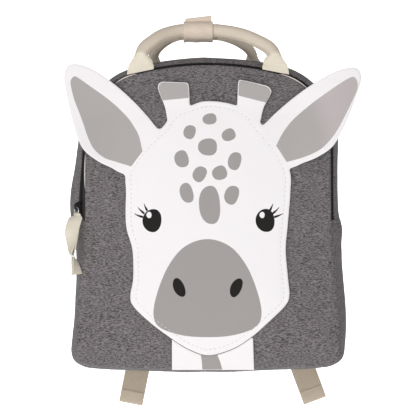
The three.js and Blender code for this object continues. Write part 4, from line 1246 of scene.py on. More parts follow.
def cover_strip(form, at, unrest):
    """Loops of the narrow strip that covers the joint of both side cloths."""
    reach = COVER_REACH * MM / form.length
    share = np.linspace(at - reach, at + reach, 5)[:, None]
    z = form.seam(share)[1]
    deep = blend(0.6 * MM, form.depth(z) - 1.2 * MM, np.linspace(0, 1, 40)[None])
    lift = COVER_LIFT * MM - unrest(share * form.length, deep)
    return shell(form.side(share, deep, -lift - COVER_WALL * MM), form.side(share, deep, -lift))


class BACKPACK_OT_sides(BackpackOperator, Operator):
    """Sews the cloth round the sides, above and below the ends of the zip"""

    bl_idname = "backpack.sides"
    bl_label = "Side Cloth"

    def build(self, form, size):
        end, gap = form.zip_ends()

        def unrest(along, deep):
            soft = 0.35 * ripple(along, deep, 5, 0.05) + 0.12 * ripple(along, deep * 3, 9, 0.016)
            gathers = 0.12 * np.sin(along * 2 * np.pi / 0.0075) * bell(deep - 0.006, 0.006)
            return (soft * smoothstep(deep, 0, 0.02) + gathers) * MM

        zip_room = size.zip_width + size.seam_gap
        for name, start, stop, front in (
            ("upper", end + gap, 1 - end - gap, zip_room),
            ("lower", -end + gap, end - gap, 0),
        ):
            work = Workpiece()
            work.loft(side_cloth(form, start, stop, front, size.cloth_wall, unrest))
            for at in () if front else (end, -end):
                work.loft(cover_strip(form, at, unrest))
            self.hand_over(work, f"{name}_side_cloth", "marl_cloth", f"{name}_gusset", "marl")


class BACKPACK_OT_zip(BackpackOperator, Operator):
    """Makes the zip's tapes and its coil"""

    bl_idname = "backpack.zip"
    bl_label = "Zip"

    def build(self, form, size):
        end, gap = form.zip_ends()
        share = np.linspace(end + gap, 1 - end - gap, 420)[:, None]
        sink = form.zip_sink(share)
        work = Workpiece()
        middle = size.zip_width / 2
        slot = 0.4 * MM
        # The front tape takes finish 2, the painted shade of the cloth's lip along the seam
        for low, high, kind in (
            (size.seam_gap, middle - slot, 2),
            (middle + slot, size.zip_width, 0),
        ):
            at = np.linspace(low, high, 8)[None]
            loops = shell(form.side(share, at, sink), form.side(share, at, sink + 0.9 * MM))
            travel = np.broadcast_to(share * form.length, loops.shape[:2])
            width = np.linspace(0, 2 * (high - low), loops.shape[1])[None] + 0 * travel
            work.loft(loops, kind, spots(width, travel, 0 * width))
        count = int((1 - 2 * end) * form.length / size.tooth_pitch)
        at = np.linspace(end + gap * 4, 1 - end - gap * 4, count)
        level = form.zip_sink(at) - 0.35 * MM
        places = form.side(at, middle, level)
        along = unit(form.side(at + 5e-4, middle, level) - places)
        across = unit(form.side(at, middle + 0.4 * MM, level) - places)
        out = unit(np.cross(along, across))
        out *= np.sign(np.sum(out * (places - (0, 0, form.middle[1])), axis=1, keepdims=True))
        shape, faces = stitch_shape(3.4 * MM, 0.52 * MM, 6, 7)
        work.scatter(shape, faces, zip(places, across + along * 0.12, along, out), 1)
        for side in (0, -1):
            tip = places[side] + along[side] * (0.8 * MM if side else -0.8 * MM)
            block, block_faces = stitch_shape(4.4 * MM, 0.9 * MM, 8, 7)
            work.scatter(block, block_faces, [(tip, across[side], along[side] * 1.6, out[side])], 1)
        finishes = "zip_tape", "coil", "zip_edge"
        self.hand_over(work, "zip_tape_and_coil", "black_zip", "zip_band", *finishes)


# The giraffe's head


def oval(x, z, width, height, turn, squareness=1.0, steps=40):
    """A rounded patch of the print."""
    angle = turns(steps)
    a = squared(np.cos(angle), squareness) * width / 2
    b = squared(np.sin(angle), squareness) * height / 2 * (1 + 0.12 * np.cos(angle))
    cos, sin = cosine_sine(turn)
    return spots(x + a * cos - b * sin, z + a * sin + b * cos) * MM


def closed_rows(rows, steps=4):
    """A closed curve through places in millimetres."""
    return through(rows, steps, True) * MM


def outer_line(lines):
    """The single outline round several overlapping outlines."""
    points, faces = [], []
    for line in lines:
        faces.append(list(range(len(points), len(points) + len(line))))
        points += [Vector(p) for p in turned_left(line)]
    verts, _, cells, *_ = geometry.delaunay_2d_cdt(points, [], faces, 1, 1e-7)
    uses = {}
    for cell in cells:
        for a, b in zip(cell, cell[1:] + cell[:1]):
            uses.setdefault((min(a, b), max(a, b)), []).append((a, b))
    onward = {pairs[0][0]: pairs[0][1] for pairs in uses.values() if len(pairs) == 1}
    start = at = next(iter(onward))
    loop = []
    while True:
        loop.append(tuple(verts[at]))
        at = onward[at]
        if at == start:
            return np.array(loop)


def ease_corners(line, corners):
    """Rounds the inward corners of an outline that lie near the given places."""
    line = even(turned_left(line), 0.5 * MM)
    count = len(line)
    for x, z, reach in corners:
        near = np.hypot(line[:, 0] - x * MM, line[:, 1] - z * MM)
        before, after = (line - np.roll(line, k, axis=0) for k in (3, -3))
        turn = before[:, 0] * -after[:, 1] + before[:, 1] * after[:, 0]
        around = np.where(near < 9 * MM)[0]
        middle = around[np.argmin(turn[around])]
        back = int(round(reach / 0.5))
        start, corner, end = (line[(middle + k) % count] for k in (-back, 0, back))
        t = np.linspace(0, 1, 2 * back + 1)[:, None]
        rounding = bow(start, corner * 0.9 + (start + end) * 0.05, end, t)
        line[np.arange(middle - back, middle + back + 1) % count] = rounding
    return line


def cut_cloth(outline, prints, cell, rim):
    """Triangles of a flat cloth with its printed patches, and each triangle's patch."""
    outline = turned_left(even(outline, cell * 0.55))
    prints = [turned_left(even(line, cell * 0.5)) for line in prints]
    points = [outline, *prints]
    faces, count = [], 0
    for line in points:
        faces.append(list(range(count, count + len(line))))
        count += len(line)
    square = inward(outline, 1, 0.3 * MM)
    rings = [outline + square * away for away in rim]
    low, high = outline.min(axis=0), outline.max(axis=0)
    columns = np.arange(low[0], high[0], cell)
    gx, gz = np.meshgrid(columns, np.arange(low[1], high[1], cell * 0.87), indexing="ij")
    gx = gx + (np.arange(gx.shape[1]) % 2)[None] * cell / 2
    grid = spots(gx.ravel(), gz.ravel())
    grid = grid[inside(outline, grid[:, 0], grid[:, 1])]
    grid = grid[distance_to(outline, grid) > rim[-1] + 0.4 * cell]
    for line in prints:
        grid = grid[distance_to(line, grid) > 0.35 * cell]
    extra = []
    for ring, away in zip(rings, rim):
        ring = ring[inside(outline, ring[:, 0], ring[:, 1])]
        extra.append(ring[np.abs(distance_to(outline, ring) - away) < 0.1 * away])
    flat = [Vector(place) for place in np.vstack([*points, *extra, grid])]
    verts, _, cells, _, _, origins = geometry.delaunay_2d_cdt(flat, [], faces, 1, 1e-7)
    patches = [max(ids, default=0) for ids in origins]
    return np.array([tuple(v) for v in verts]), np.array(cells), patches


def double_face(work, flat, cells, patches, middle, half):
    """Front and back of a cloth that meet at its rim, where the half thickness is nothing."""
    rim = half < 1e-6
    count = len(flat)
    back_index = np.where(rim, np.arange(count), np.cumsum(~rim) - 1 + count)
    front = spots(flat[:, 0], middle - half, flat[:, 1])
    back = spots(flat[:, 0], middle + half, flat[:, 1])[~rim]
    faces = np.vstack([cells, back_index[cells][:, ::-1]])
    work.add(np.vstack([front, back]), faces.tolist(), list(patches) + [0] * len(cells))


def half_wall(outline, cell, flat, wall, radius):
    """Half of a cloth's thickness, which rounds off to nothing at its outline."""
    edge = distance_to(even(outline, cell * 0.55), flat)
    return wall / 2 * rounded(np.where(edge < 0.02 * MM, 0, edge), radius)


def rounded(distance, radius):
    """A quarter round, from nothing at an edge to one at its radius."""
    return np.sqrt(np.clip(1 - np.clip(1 - distance / radius, 0, 1) ** 2, 0, 1))


class BACKPACK_OT_head(BackpackOperator, Operator):
    """Cuts, prints and sews the giraffe's head"""

    bl_idname = "backpack.head"
    bl_label = "Giraffe's Head"

    def print_patches(self):
        """Each patch of the print with the finish that it takes."""
        form, size = self.form, self.size
        x, top = size.face_shift / MM, form.face_z / MM
        rows = [(form.ear_inside(ear), 4) for ear in EARS]
        for side, inner_z, outer_z in HORN_PRINTS:
            horn = form.horn_line(side, 0.75 * MM)
            middle = size.face_shift + size.horn_shift + side * size.horn_spread
            out = ((horn[:, 0] - middle) * side / size.horn_width + 0.37) / 0.8
            sag = 0.7 * MM * np.sin(np.pi * np.clip(out, 0, 1))
            rows.append((horn[horn[:, 1] > blend(inner_z, outer_z, out) * MM + sag], 4))
        for sx, sz, *spot in SPOTS:
            rows.append((oval(x + sx, top + sz, *spot, 0.85), 1))
        muzzle = [*MUZZLE, *((-px, pz) for px, pz in MUZZLE[-2:0:-1])]
        rows.append((closed_rows([(x - 1 + px, top + pz) for px, pz in muzzle], 6), 1))
        for side in (-1, 1):
            out, down, width, height, turn = EYE
            eye = np.array([x + side * out, top - down])
            rows.append((oval(*eye, width, height, side * turn, 0.95), 2))
            for lean, reach in LASHES:
                cos, sin = cosine_sine(lean)
                away, square = np.array([side * cos, sin]), np.array([-sin, side * cos])
                foot = eye + away * (9.5 + 1.8 * sin)
                bend, tip = foot + away * reach * 0.6, foot + away * reach + (0, 0.8)
                lash = [foot - square * 1.1, bend - square * 0.6, tip, bend + square * 0.6]
                rows.append((closed_rows([*lash, foot + square * 1.1]), 2))
            out, down, width, height, turn = NOSTRIL
            rows.append((oval(x - 1 + side * out, top - down, width, height, side * turn), 2))
        for side in (-1, 1):
            left, down, width, height = GLINT
            rows.append((oval(x + side * EYE[0] - left, top - down, width, height, 0), 0))
        return rows

    def build(self, form, size):
        face = form.face_line()
        lines = [face, *(form.ear_line(ear) for ear in EARS), form.horn_line(-1), form.horn_line(1)]
        outline = ease_corners(outer_line(lines), HEAD_CORNERS)
        patches = self.print_patches()
        cell = 2.3 * MM
        rim = np.array(HEAD_RIM) * MM
        flat, cells, ids = cut_cloth(outline, [line for line, _ in patches], cell, rim)
        kinds = [0] + [kind for _, kind in patches]
        x, z = flat[:, 0], flat[:, 1]
        seam = np.abs(distance_to(face, flat) - size.stitch_inset)
        sewn = bell(seam, 0.9 * MM) * inside(face, x, z)
        puff = 0.25 * MM * bell(seam - 3 * MM, 2.6 * MM) * inside(face, x, z)
        half = half_wall(outline, cell, flat, size.applique_wall, 1.2 * MM)
        middle = form.head_back(x, z) - size.applique_wall / 2
        middle = middle + (0.3 * sewn - puff / MM * 0.6 - 0.1 * ripple(x, z, 12, 0.05)) * MM
        work = Workpiece()
        double_face(work, flat, cells, [kinds[k] for k in ids], middle, half)
        self.sew(work, even(self.inset(face, size.stitch_inset), 4.6 * MM))
        finishes = "white", "print_grey", "print_black", "thread", "print_pale"
        self.hand_over(work, "giraffe_head_cloth", "white_canvas", "giraffe_head", *finishes)

    def sew(self, work, line):
        """Stitches along a line, each lying on the head."""
        x, z = line.T
        y = self.form.head_back(x, z) - self.size.applique_wall + 0.18 * MM
        places = spots(x, y, z)
        ahead = np.roll(places, -1, axis=0)
        along = unit(ahead - places)
        front = np.array([0.0, -1.0, 0.0])
        out = unit(front - along * np.sum(front * along, axis=1, keepdims=True))
        shape, faces = stitch_shape(3 * MM, 0.34 * MM)
        rows = zip((places + ahead) / 2, along, np.cross(out, along), out)
        work.scatter(shape, faces, rows, 3)

    def inset(self, line, away):
        """A line that runs inside another at a distance."""
        line = even(line, 1.5 * MM)
        moved = line + inward(line, 2, away) * away
        keep = inside(line, moved[:, 0], moved[:, 1]) & (distance_to(line, moved) > 0.93 * away)
        return moved[keep]


class BACKPACK_OT_neck(BackpackOperator, Operator):
    """Cuts the neck that runs from the chin to the base seam"""

    bl_idname = "backpack.neck"
    bl_label = "Neck"

    def build(self, form, size):
        left, right = (size.neck_shift + side * size.neck_width / 2 for side in (-1, 1))
        bottom, top = form.base_z - 1.8 * MM, form.face_z - size.face_height * 0.8
        chin = form.face_line() - (0, 2 * size.seam_gap)
        chin = chin[(chin[:, 1] < top) & (chin[:, 0] > left) & (chin[:, 0] < right)]
        chin = chin[np.argsort(chin[:, 0])]
        ends = [np.interp(x, chin[:, 0], chin[:, 1]) for x in (left, right)]
        foot = [(left, bottom), (right + 1 * MM, bottom), (right, ends[1])]
        strip = np.vstack([foot, chin[::-1], [(left, ends[0])]])
        low = [(x, bottom / MM + z) for x, z in NECK_PATCH_FOOT]
        patch = (np.array([*NECK_PATCH, *low, *NECK_PATCH_LEFT]) + (size.neck_shift / MM, 0)) * MM
        cell = 2.2 * MM
        flat, cells, ids = cut_cloth(strip, [patch], cell, np.array(NECK_RIM) * MM)
        half = half_wall(strip, cell, flat, size.neck_wall, 0.8 * MM)
        x, z = flat.T
        middle = form.front(x, z) - size.seam_gap - size.neck_wall / 2
        middle = middle - 0.15 * MM * ripple(x, z, 21, 0.03) - 0.15 * MM
        work = Workpiece()
        double_face(work, flat, cells, ids, middle, half)
        self.hand_over(work, "neck_cloth", "white_canvas", "neck_panel", "white", "print_grey")


# Handles and their wrap


def handle_place(form, size, name):
    """One grab handle's span, shift, roll, seam, held place and top."""
    span, rise, roll = (getattr(size, f"{name}_{what}") for what in ("span", "rise", "roll"))
    half_end = size.handle_end_wall / 2
    held_y = -size.roll_distance / 2 - (size.front_roll - size.rear_roll) / 4
    if name == "front":
        shift = 0
        seam_y = form.front_plane(form.crown_z) - size.seam_gap - half_end
    else:
        shift = size.rear_shift
        seam_y = size.back_plane + size.seam_gap + half_end + 0.5 * MM
        held_y += size.roll_distance
    return span, shift, roll, seam_y, held_y, handle_foot(form, span / 2) + rise


def handle_foot(form, x):
    """Height of the top seam where a handle's end is sewn."""
    radius = form.size.crown_radius
    return form.crown_z - radius * (1 - math.cos(math.asin(x / radius))) + form.size.seam_gap


class BACKPACK_OT_handles(BackpackOperator, Operator):
    """Rolls both grab handles"""

    bl_idname = "backpack.handles"
    bl_label = "Grab Handles"

    def build(self, form, size):
        for name in ("front", "rear"):
            self.one(name)

    def one(self, name):
        form, size = self.form, self.size
        span, shift, roll, seam_y, held_y, top_z = handle_place(form, size, name)
        rows = np.array(HANDLE_ROWS)

        def side(sign):
            end_x = shift + sign * span / 2
            held_x = size.wrap_shift + sign * (size.wrap_width / 2 + 1 * MM)
            foot_z = handle_foot(form, end_x)
            x = blend(held_x, end_x, rows[:, 0])
            y = blend(seam_y, held_y, rows[:, 2])
            return spots(x, y, blend(foot_z, top_z, rows[:, 1]), rows[:, 3])

        line = through(np.vstack([side(-1), side(1)[::-1]]), 10)
        path, rolled = line[:, :3], np.clip(line[:, 3], 0, 1) ** ROLL_PACE[name]
        flat = 1 - rolled
        width = blend(roll, size.handle_end_width * math.sqrt(roll / size.front_roll), flat)
        wall = blend(roll, size.handle_end_wall, flat**0.8)
        tangent = unit(np.gradient(path, axis=0))
        across = np.cross((0, 1, 0), tangent)
        power = blend(1.0, 0.42, flat**0.7)

        def dents(share, angle):
            bend = 4 * rolled * flat
            pleats = 0.05 * np.cos(angle * 5) * bend[:, None]
            twist = 0.012 * np.sin(share * 60 + angle * 2) * rolled[:, None]
            return pleats + twist

        sides = 40
        loops, lay = sweep(path, across, width, wall, power, sides, dents)
        slope = path[:, 0] / math.sqrt(size.crown_radius**2 - (span / 2) ** 2)
        loops[..., 2] -= (loops[..., 0] - path[:, :1]) * (slope * flat)[:, None]
        work = Workpiece()
        sewn = (flat > 0.04) * 1
        work.loft(loops, [*np.repeat(sewn[:-1], sides), *[sewn[0], sewn[-1]] * sides], lay)
        self.stitch(work, path, tangent, unit(across), roll, rolled)
        finishes = "roll", "cream", "beige"
        self.hand_over(work, f"{name}_grab_handle", "cream_webbing", f"handle_{name}", *finishes)

    def stitch(self, work, path, tangent, across, roll, rolled):
        """Stitches along both arms of a rolled handle, in front of its lower side."""
        size = self.size
        pick = rolled > 0.9
        pick &= np.abs(path[:, 0] - size.wrap_shift) > size.wrap_width / 2 + 1 * MM
        angle = 0.42 - math.pi * 0.42
        radial = across * math.cos(angle) + np.cross(tangent, across) * math.sin(angle)
        for sign in (-1, 1):
            arm = pick & (path[:, 0] * sign > 0)
            seat = path[arm] + radial[arm] * (roll / 2 - 0.1 * MM)
            row = even(np.hstack([seat, radial[arm]]), 3.4 * MM, False)
            shape, faces = stitch_shape(2.2 * MM, 0.32 * MM)
            ahead = unit(np.gradient(row[:, :3], axis=0))
            out = unit(row[:, 3:])
            work.scatter(shape, faces, zip(row[:, :3], ahead, np.cross(out, ahead), out), 2)


class BACKPACK_OT_wrap(BackpackOperator, Operator):
    """Wraps both handles where a hand holds them"""

    bl_idname = "backpack.wrap"
    bl_label = "Handle Wrap"

    def build(self, form, size):
        rolls = []
        for name in ("front", "rear"):
            _, _, roll, _, y, top_z = handle_place(form, size, name)
            rolls.append((y, top_z, roll / 2))
        angle = 2 * np.pi * np.arange(110) / 110
        cos, sin = np.cos(angle), np.sin(angle)
        far = [y * cos + z * sin + radius for y, z, radius in rolls]
        first = far[0] > far[1]
        y0, z0, radius = (np.where(first, *pair)[:, None] for pair in zip(*rolls))
        left, right = (size.wrap_shift + side * size.wrap_width / 2 for side in (-1, 1))
        x = np.linspace(left, right, 34)[None]
        inward = (x - left) / (right - left)

        def sleeve(grow, lively):
            hem = 0.5 * MM * (bell(inward, 0.07) + bell(1 - inward, 0.07))
            lean = 2.2 * np.sin(angle)[:, None] * 2
            folds = 0.35 * MM * np.sin(inward * 14 + lean) * np.sin(angle * 3)[:, None]
            puff = 0.5 * MM * np.sin(np.pi * inward)
            out = radius + grow + lively * (hem + folds * 0.6 + puff)
            y, z = y0 + out * cos[:, None], z0 + out * sin[:, None]
            return spots(np.broadcast_to(x, y.shape), y, z)

        work = Workpiece()
        loops = shell(sleeve(size.seam_gap + size.wrap_wall, 1), sleeve(size.seam_gap, 0))
        work.loft(loops, ring=True)
        self.tab(work, rolls[0], left, right)
        self.hand_over(work, "soft_wrap", "wrap_cloth", "handle_wrap", "wrap")

    def tab(self, work, roll, left, right):
        """The wrap's end, folded and standing up on top."""
        size = self.size
        y, z, radius = roll
        top = z + radius + size.seam_gap + size.wrap_wall * 0.4
        x = np.linspace(left + 0.6 * MM, right - 0.4 * MM, 26)
        tilt = (x - (left + right) / 2) * math.tan(math.radians(7)) - 0.5 * MM
        loops = []
        for share, thick in WRAP_TAB_ROWS:
            height = top + share * (size.wrap_tab_height + tilt)
            lean = y + 0.8 * MM * share + 0.25 * MM * np.sin(x * 420)
            half = thick * 1.3 * MM
            front = spots(x, lean - half, height)
            back = spots(x, lean + half, height)[::-1]
            loops.append(np.vstack([front, back]))
        work.loft(np.array(loops))


# The zip's slider, its ring and its pull


def slider_frame(form, size):
    """The slider's seat on the coil, its way out of the bag and its way across the zip."""
    share = -form.share_at(form.crown_z - size.slider_drop)
    sink = form.zip_sink(share) - 1 * MM
    seat = form.side(np.array(share), size.zip_width / 2, sink)
    cos, sin = cosine_sine(SLIDER_TURN)
    out, across = np.array([-cos, -sin, 0]), np.array([sin, -cos, 0])
    return seat + out * size.slider_lift, out, across


class BACKPACK_OT_slider(BackpackOperator, Operator):
    """Makes the zip's slider, its ring and its folded pull"""

    bl_idname = "backpack.slider"
    bl_label = "Zip Slider and Pull"

    def build(self, form, size):
        self.seat, self.out, self.across = slider_frame(form, size)
        self.up = np.array([0.0, 0.0, 1.0])
        self.slider()
        self.ring()
        self.pull()

    def slider(self):
        size = self.size
        work = Workpiece()
        around = turns(20)
        for low, high in SLIDER_PLATES:
            loops = []
            for up, wide in through(SLIDER_ROWS, 4):
                end = math.sqrt(max(1 - (abs(up) / 0.52) ** 6, 0.1))
                a = squared(np.cos(around), 0.4) * wide * size.slider_width / 2
                b = squared(np.sin(around), 0.5) * (high - low) / 2 * end + (high + low) / 2
                plate = self.seat + self.across * a[:, None]
                plate = plate + self.out * (b * size.slider_wall)[:, None]
                loops.append(plate + self.up * up * size.slider_height)
            work.loft(np.array(loops))
        thick = np.linspace(0.2, 0.8, 4)[:, None] * size.slider_wall
        post = self.seat + self.out * thick + self.up * size.slider_height * 0.3
        work.band(post, self.across, 2.2 * MM, 2.0 * MM, 0.6, 12)
        angle = np.linspace(0, np.pi, 21)
        high = size.ring_wire + 2 * size.seam_gap + 0.4 * MM
        arch = size.slider_wall - 0.3 * MM + np.sin(angle) ** 0.6 * (high + 0.8 * MM)
        rise = np.cos(angle) * size.slider_height * 0.38
        path = self.seat + self.out * arch[:, None] + self.up * rise[:, None]
        work.band(path, self.across, size.slider_width * 0.4, 0.95 * MM, 0.5, 14)
        self.hand_over(work, "enamelled_slider", "black_enamel", "zip_slider", "enamel")

    def ring_place(self):
        size = self.size
        out = size.slider_wall + size.seam_gap + size.ring_wire / 2
        up = -size.slider_height * 0.22 - size.ring_radius + size.ring_wire
        return self.seat + self.out * out + self.up * up

    def ring(self):
        size = self.size
        angle = turns(56)
        around = turns(14)
        spoke = np.cos(angle)[:, None] * self.across + np.sin(angle)[:, None] * self.up
        middle = self.ring_place() + spoke * size.ring_radius
        cos, sin = np.cos(around)[:, None], np.sin(around)[:, None]
        wire = (cos * spoke[:, None] + sin * self.out) * size.ring_wire / 2
        work = Workpiece()
        work.loft(middle[:, None] + wire, ring=True)
        self.hand_over(work, "pull_wire_ring", "steel_wire", "pull_ring", "steel")

    def pull(self):
        """A band folded round the ring, whose two layers twist down together."""
        size = self.size
        foot = self.ring_place() - self.up * size.ring_radius
        rows = through(PULL_ROWS, 8)
        turn = np.radians(rows[:, 3])
        across = spots(np.cos(turn), -np.sin(turn), 0 * turn)
        outward = spots(-np.sin(turn), -np.cos(turn), 0 * turn)
        place = foot + spots(rows[:, 1], -rows[:, 2], -rows[:, 0]) * size.pull_length
        layer = size.pull_wall / 2 + size.seam_gap * 0.5
        round_wire = size.ring_wire / 2 + size.seam_gap + size.pull_wall / 2
        arc = np.linspace(0, np.pi, 13)
        bend = np.outer(np.cos(arc), self.out) + np.outer(np.sin(arc), self.up)
        fold = foot + bend * round_wire
        down = np.linspace(0, 1, len(rows))
        front = place + outward * layer
        front[:, 0] -= 1.2 * MM * bell(down - 0.62, 0.12)
        path = np.vstack([front[::-1], fold, place - outward * layer])
        ways = np.vstack([across[::-1], np.tile(self.across, (13, 1)), across])
        narrow = size.ring_radius * 1.5
        wide = blend(narrow * 1.5, size.pull_width, smoothstep(down, -0.03, 0.05))
        width = np.concatenate([wide[::-1], np.full(13, narrow), wide])
        work = Workpiece()
        work.band(path, ways, width, size.pull_wall, 0.3, 22)
        self.hand_over(work, "folded_zip_pull", "cream_webbing", "pull_tab", "cream")


# Back, straps, buckles and webbing


class BACKPACK_OT_back(BackpackOperator, Operator):
    """Pads the back"""

    bl_idname = "backpack.back"
    bl_label = "Padded Back"

    def build(self, form, size):
        around = np.arange(150) / 150
        spoke = np.stack(form.seam(around), axis=1) - form.middle
        share = (1 - (1 - np.linspace(0.03, 1, 26)) ** 1.35) * 0.992
        x = form.middle[0] + spoke[:, :1] * share[None]
        z = form.middle[1] + spoke[:, 1:] * share[None]
        inner = spots(x, form.back_inner(x, z) + 0.2 * MM, z)
        outer = spots(x, form.back_outer(x, z) - 1.2 * MM, z)
        work = Workpiece()
        work.dish(np.concatenate([outer, inner[:, ::-1]], axis=1))
        piece = work.make("padded_back", *self.finish("marl"))
        swell(piece, 2.4 * MM, 3.0, 2.5 * MM, 0)
        self.settle(piece)
        finish_piece(piece, "marl_cloth", "back_panel")

    def settle(self, piece):
        """Keeps the padding off the compartment and sews its channels."""
        form = self.form
        places = vertex_places(piece.data)
        x, z = places[:, 0], places[:, 2]
        share = form.reach(x, z)
        inner, outer = form.back_inner(x, z), form.back_outer(x, z)
        back = smoothstep(places[:, 1], inner + 1 * MM, outer - 1 * MM)
        pitch = 0.052
        across = np.abs(x) / pitch
        channel = bell((across - np.round(np.minimum(across, 2))) * pitch, 2.2 * MM)
        channel = channel * smoothstep(0.86 - share, 0, 0.06)
        edge = bell((0.93 - share) * 0.15, 2 * MM)
        places[:, 1] -= back * (1.5 * channel * (across > 0.4) + 1.4 * edge) * MM
        places[:, 1] = np.maximum(places[:, 1], inner)
        place_vertices(piece.data, places)


def strap_lines(form, size, row):
    """Where one strap starts, ends and hangs."""
    _, side, buckle, *_ = row
    back_face = size.back_plane + size.seam_gap + size.back_dome + size.back_pad
    top_z = form.crown_z - size.strap_top_drop
    buckle_z = form.crown_z - size.buckle_drop
    buckle_y = back_face + size.strap_bow * 0.36 + size.strap_wall / 2
    end_x = side * buckle * size.buckle_spread / 2
    return back_face, top_z, buckle_z, buckle_y, end_x


def buckle_measures(size):
    """Distance between the buckle's bars, and the webbing's bend round one."""
    slot = (size.buckle_height - 3 * size.buckle_bar) / 2
    pitch = slot + size.buckle_bar
    bend = size.buckle_bar * math.sqrt(0.5) + size.seam_gap + size.webbing_wall / 2
    return pitch, bend


class BACKPACK_OT_straps(BackpackOperator, Operator):
    """Pads both shoulder straps"""

    bl_idname = "backpack.straps"
    bl_label = "Shoulder Straps"

    def build(self, form, size):
        for row in STRAP_SIDES:
            self.one(row)

    def one(self, row):
        form, size = self.form, self.size
        back_face, top_z, buckle_z, buckle_y, end_x = strap_lines(form, size, row)
        top_x = row[1] * size.strap_top_spread / 2
        length = top_z - buckle_z - size.buckle_height / 2 - 6 * MM
        rows = through(STRAP_ROWS, 6)
        path = np.stack([
            blend(top_x, end_x, rows[:, 1]),
            back_face + size.seam_gap + size.strap_wall / 2 + size.strap_bow * rows[:, 2],
            top_z - rows[:, 0] * length,
        ], axis=1)
        width = size.strap_width * rows[:, 3]
        right = np.array([1.0, 0, 0])
        work = Workpiece()
        work.band(path, right, width * 0.95, size.strap_wall * 0.72, 0.5, 28)
        piece = work.make(f"padded_strap_{row[0]}", *self.finish("marl"))
        swell(piece, 4 * MM, 4.0, 2.2 * MM)
        finish_piece(piece, "marl_cloth", f"shoulder_strap_{row[0]}")
        trim = Workpiece()
        for edge in (-1, 1):
            rim = path + right * (edge * width * 0.485)[:, None]
            trim.band(rim, right, 4.2 * MM, size.strap_wall * 0.62, 0.8, 14)
        pitch, bend = buckle_measures(size)
        middle = buckle_z + pitch
        hold = np.array([end_x, buckle_y, top_z - length + 6 * MM])
        angle = np.linspace(0, np.pi, 15)
        arc_y, arc_z = buckle_y + np.cos(angle) * bend, middle - np.sin(angle) * bend
        arc = spots(np.full(15, end_x), arc_y, arc_z)
        layer = np.array([0, 1.1 * MM, 0])
        loop = through(np.vstack([[hold + layer], arc, [hold - layer]]), 3)
        trim.band(loop, right, size.webbing_width, size.webbing_wall, 0.3, 22, 1)
        rim = trim.make(f"strap_binding_{row[0]}", *self.finish("marl", "beige"))
        finish_piece(rim, "marl_cloth")


class BACKPACK_OT_buckles(BackpackOperator, Operator):
    """Moulds the straps' buckles"""

    bl_idname = "backpack.buckles"
    bl_label = "Strap Buckles"

    def build(self, form, size):
        for name, *_ in STRAP_SIDES:
            node = f"strap_buckle_{name}"
            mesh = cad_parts[node].data.copy()
            mesh.materials.clear()
            mesh.materials.append(*self.finish("plastic"))
            body = bmesh.new()
            body.from_mesh(mesh)
            bmesh.ops.remove_doubles(body, verts=body.verts, dist=1e-6)
            whole = {"verts": body.verts, "edges": body.edges}
            bmesh.ops.dissolve_limit(body, angle_limit=0.02, **whole)
            sharp = [edge for edge in body.edges if edge.calc_face_angle(0) > 0.6]
            edges = {"geom": sharp, "affect": "EDGES", "clamp_overlap": True}
            bmesh.ops.bevel(body, offset=0.7 * MM, segments=3, profile=0.5, **edges)
            bmesh.ops.recalc_face_normals(body, faces=body.faces)
            body.to_mesh(mesh)
            body.free()
            mesh.shade_smooth()
            piece = bpy.data.objects.new(f"moulded_buckle_{name}", mesh)
            bpy.context.scene.collection.objects.link(piece)
            finish_piece(piece, "black_plastic", node)


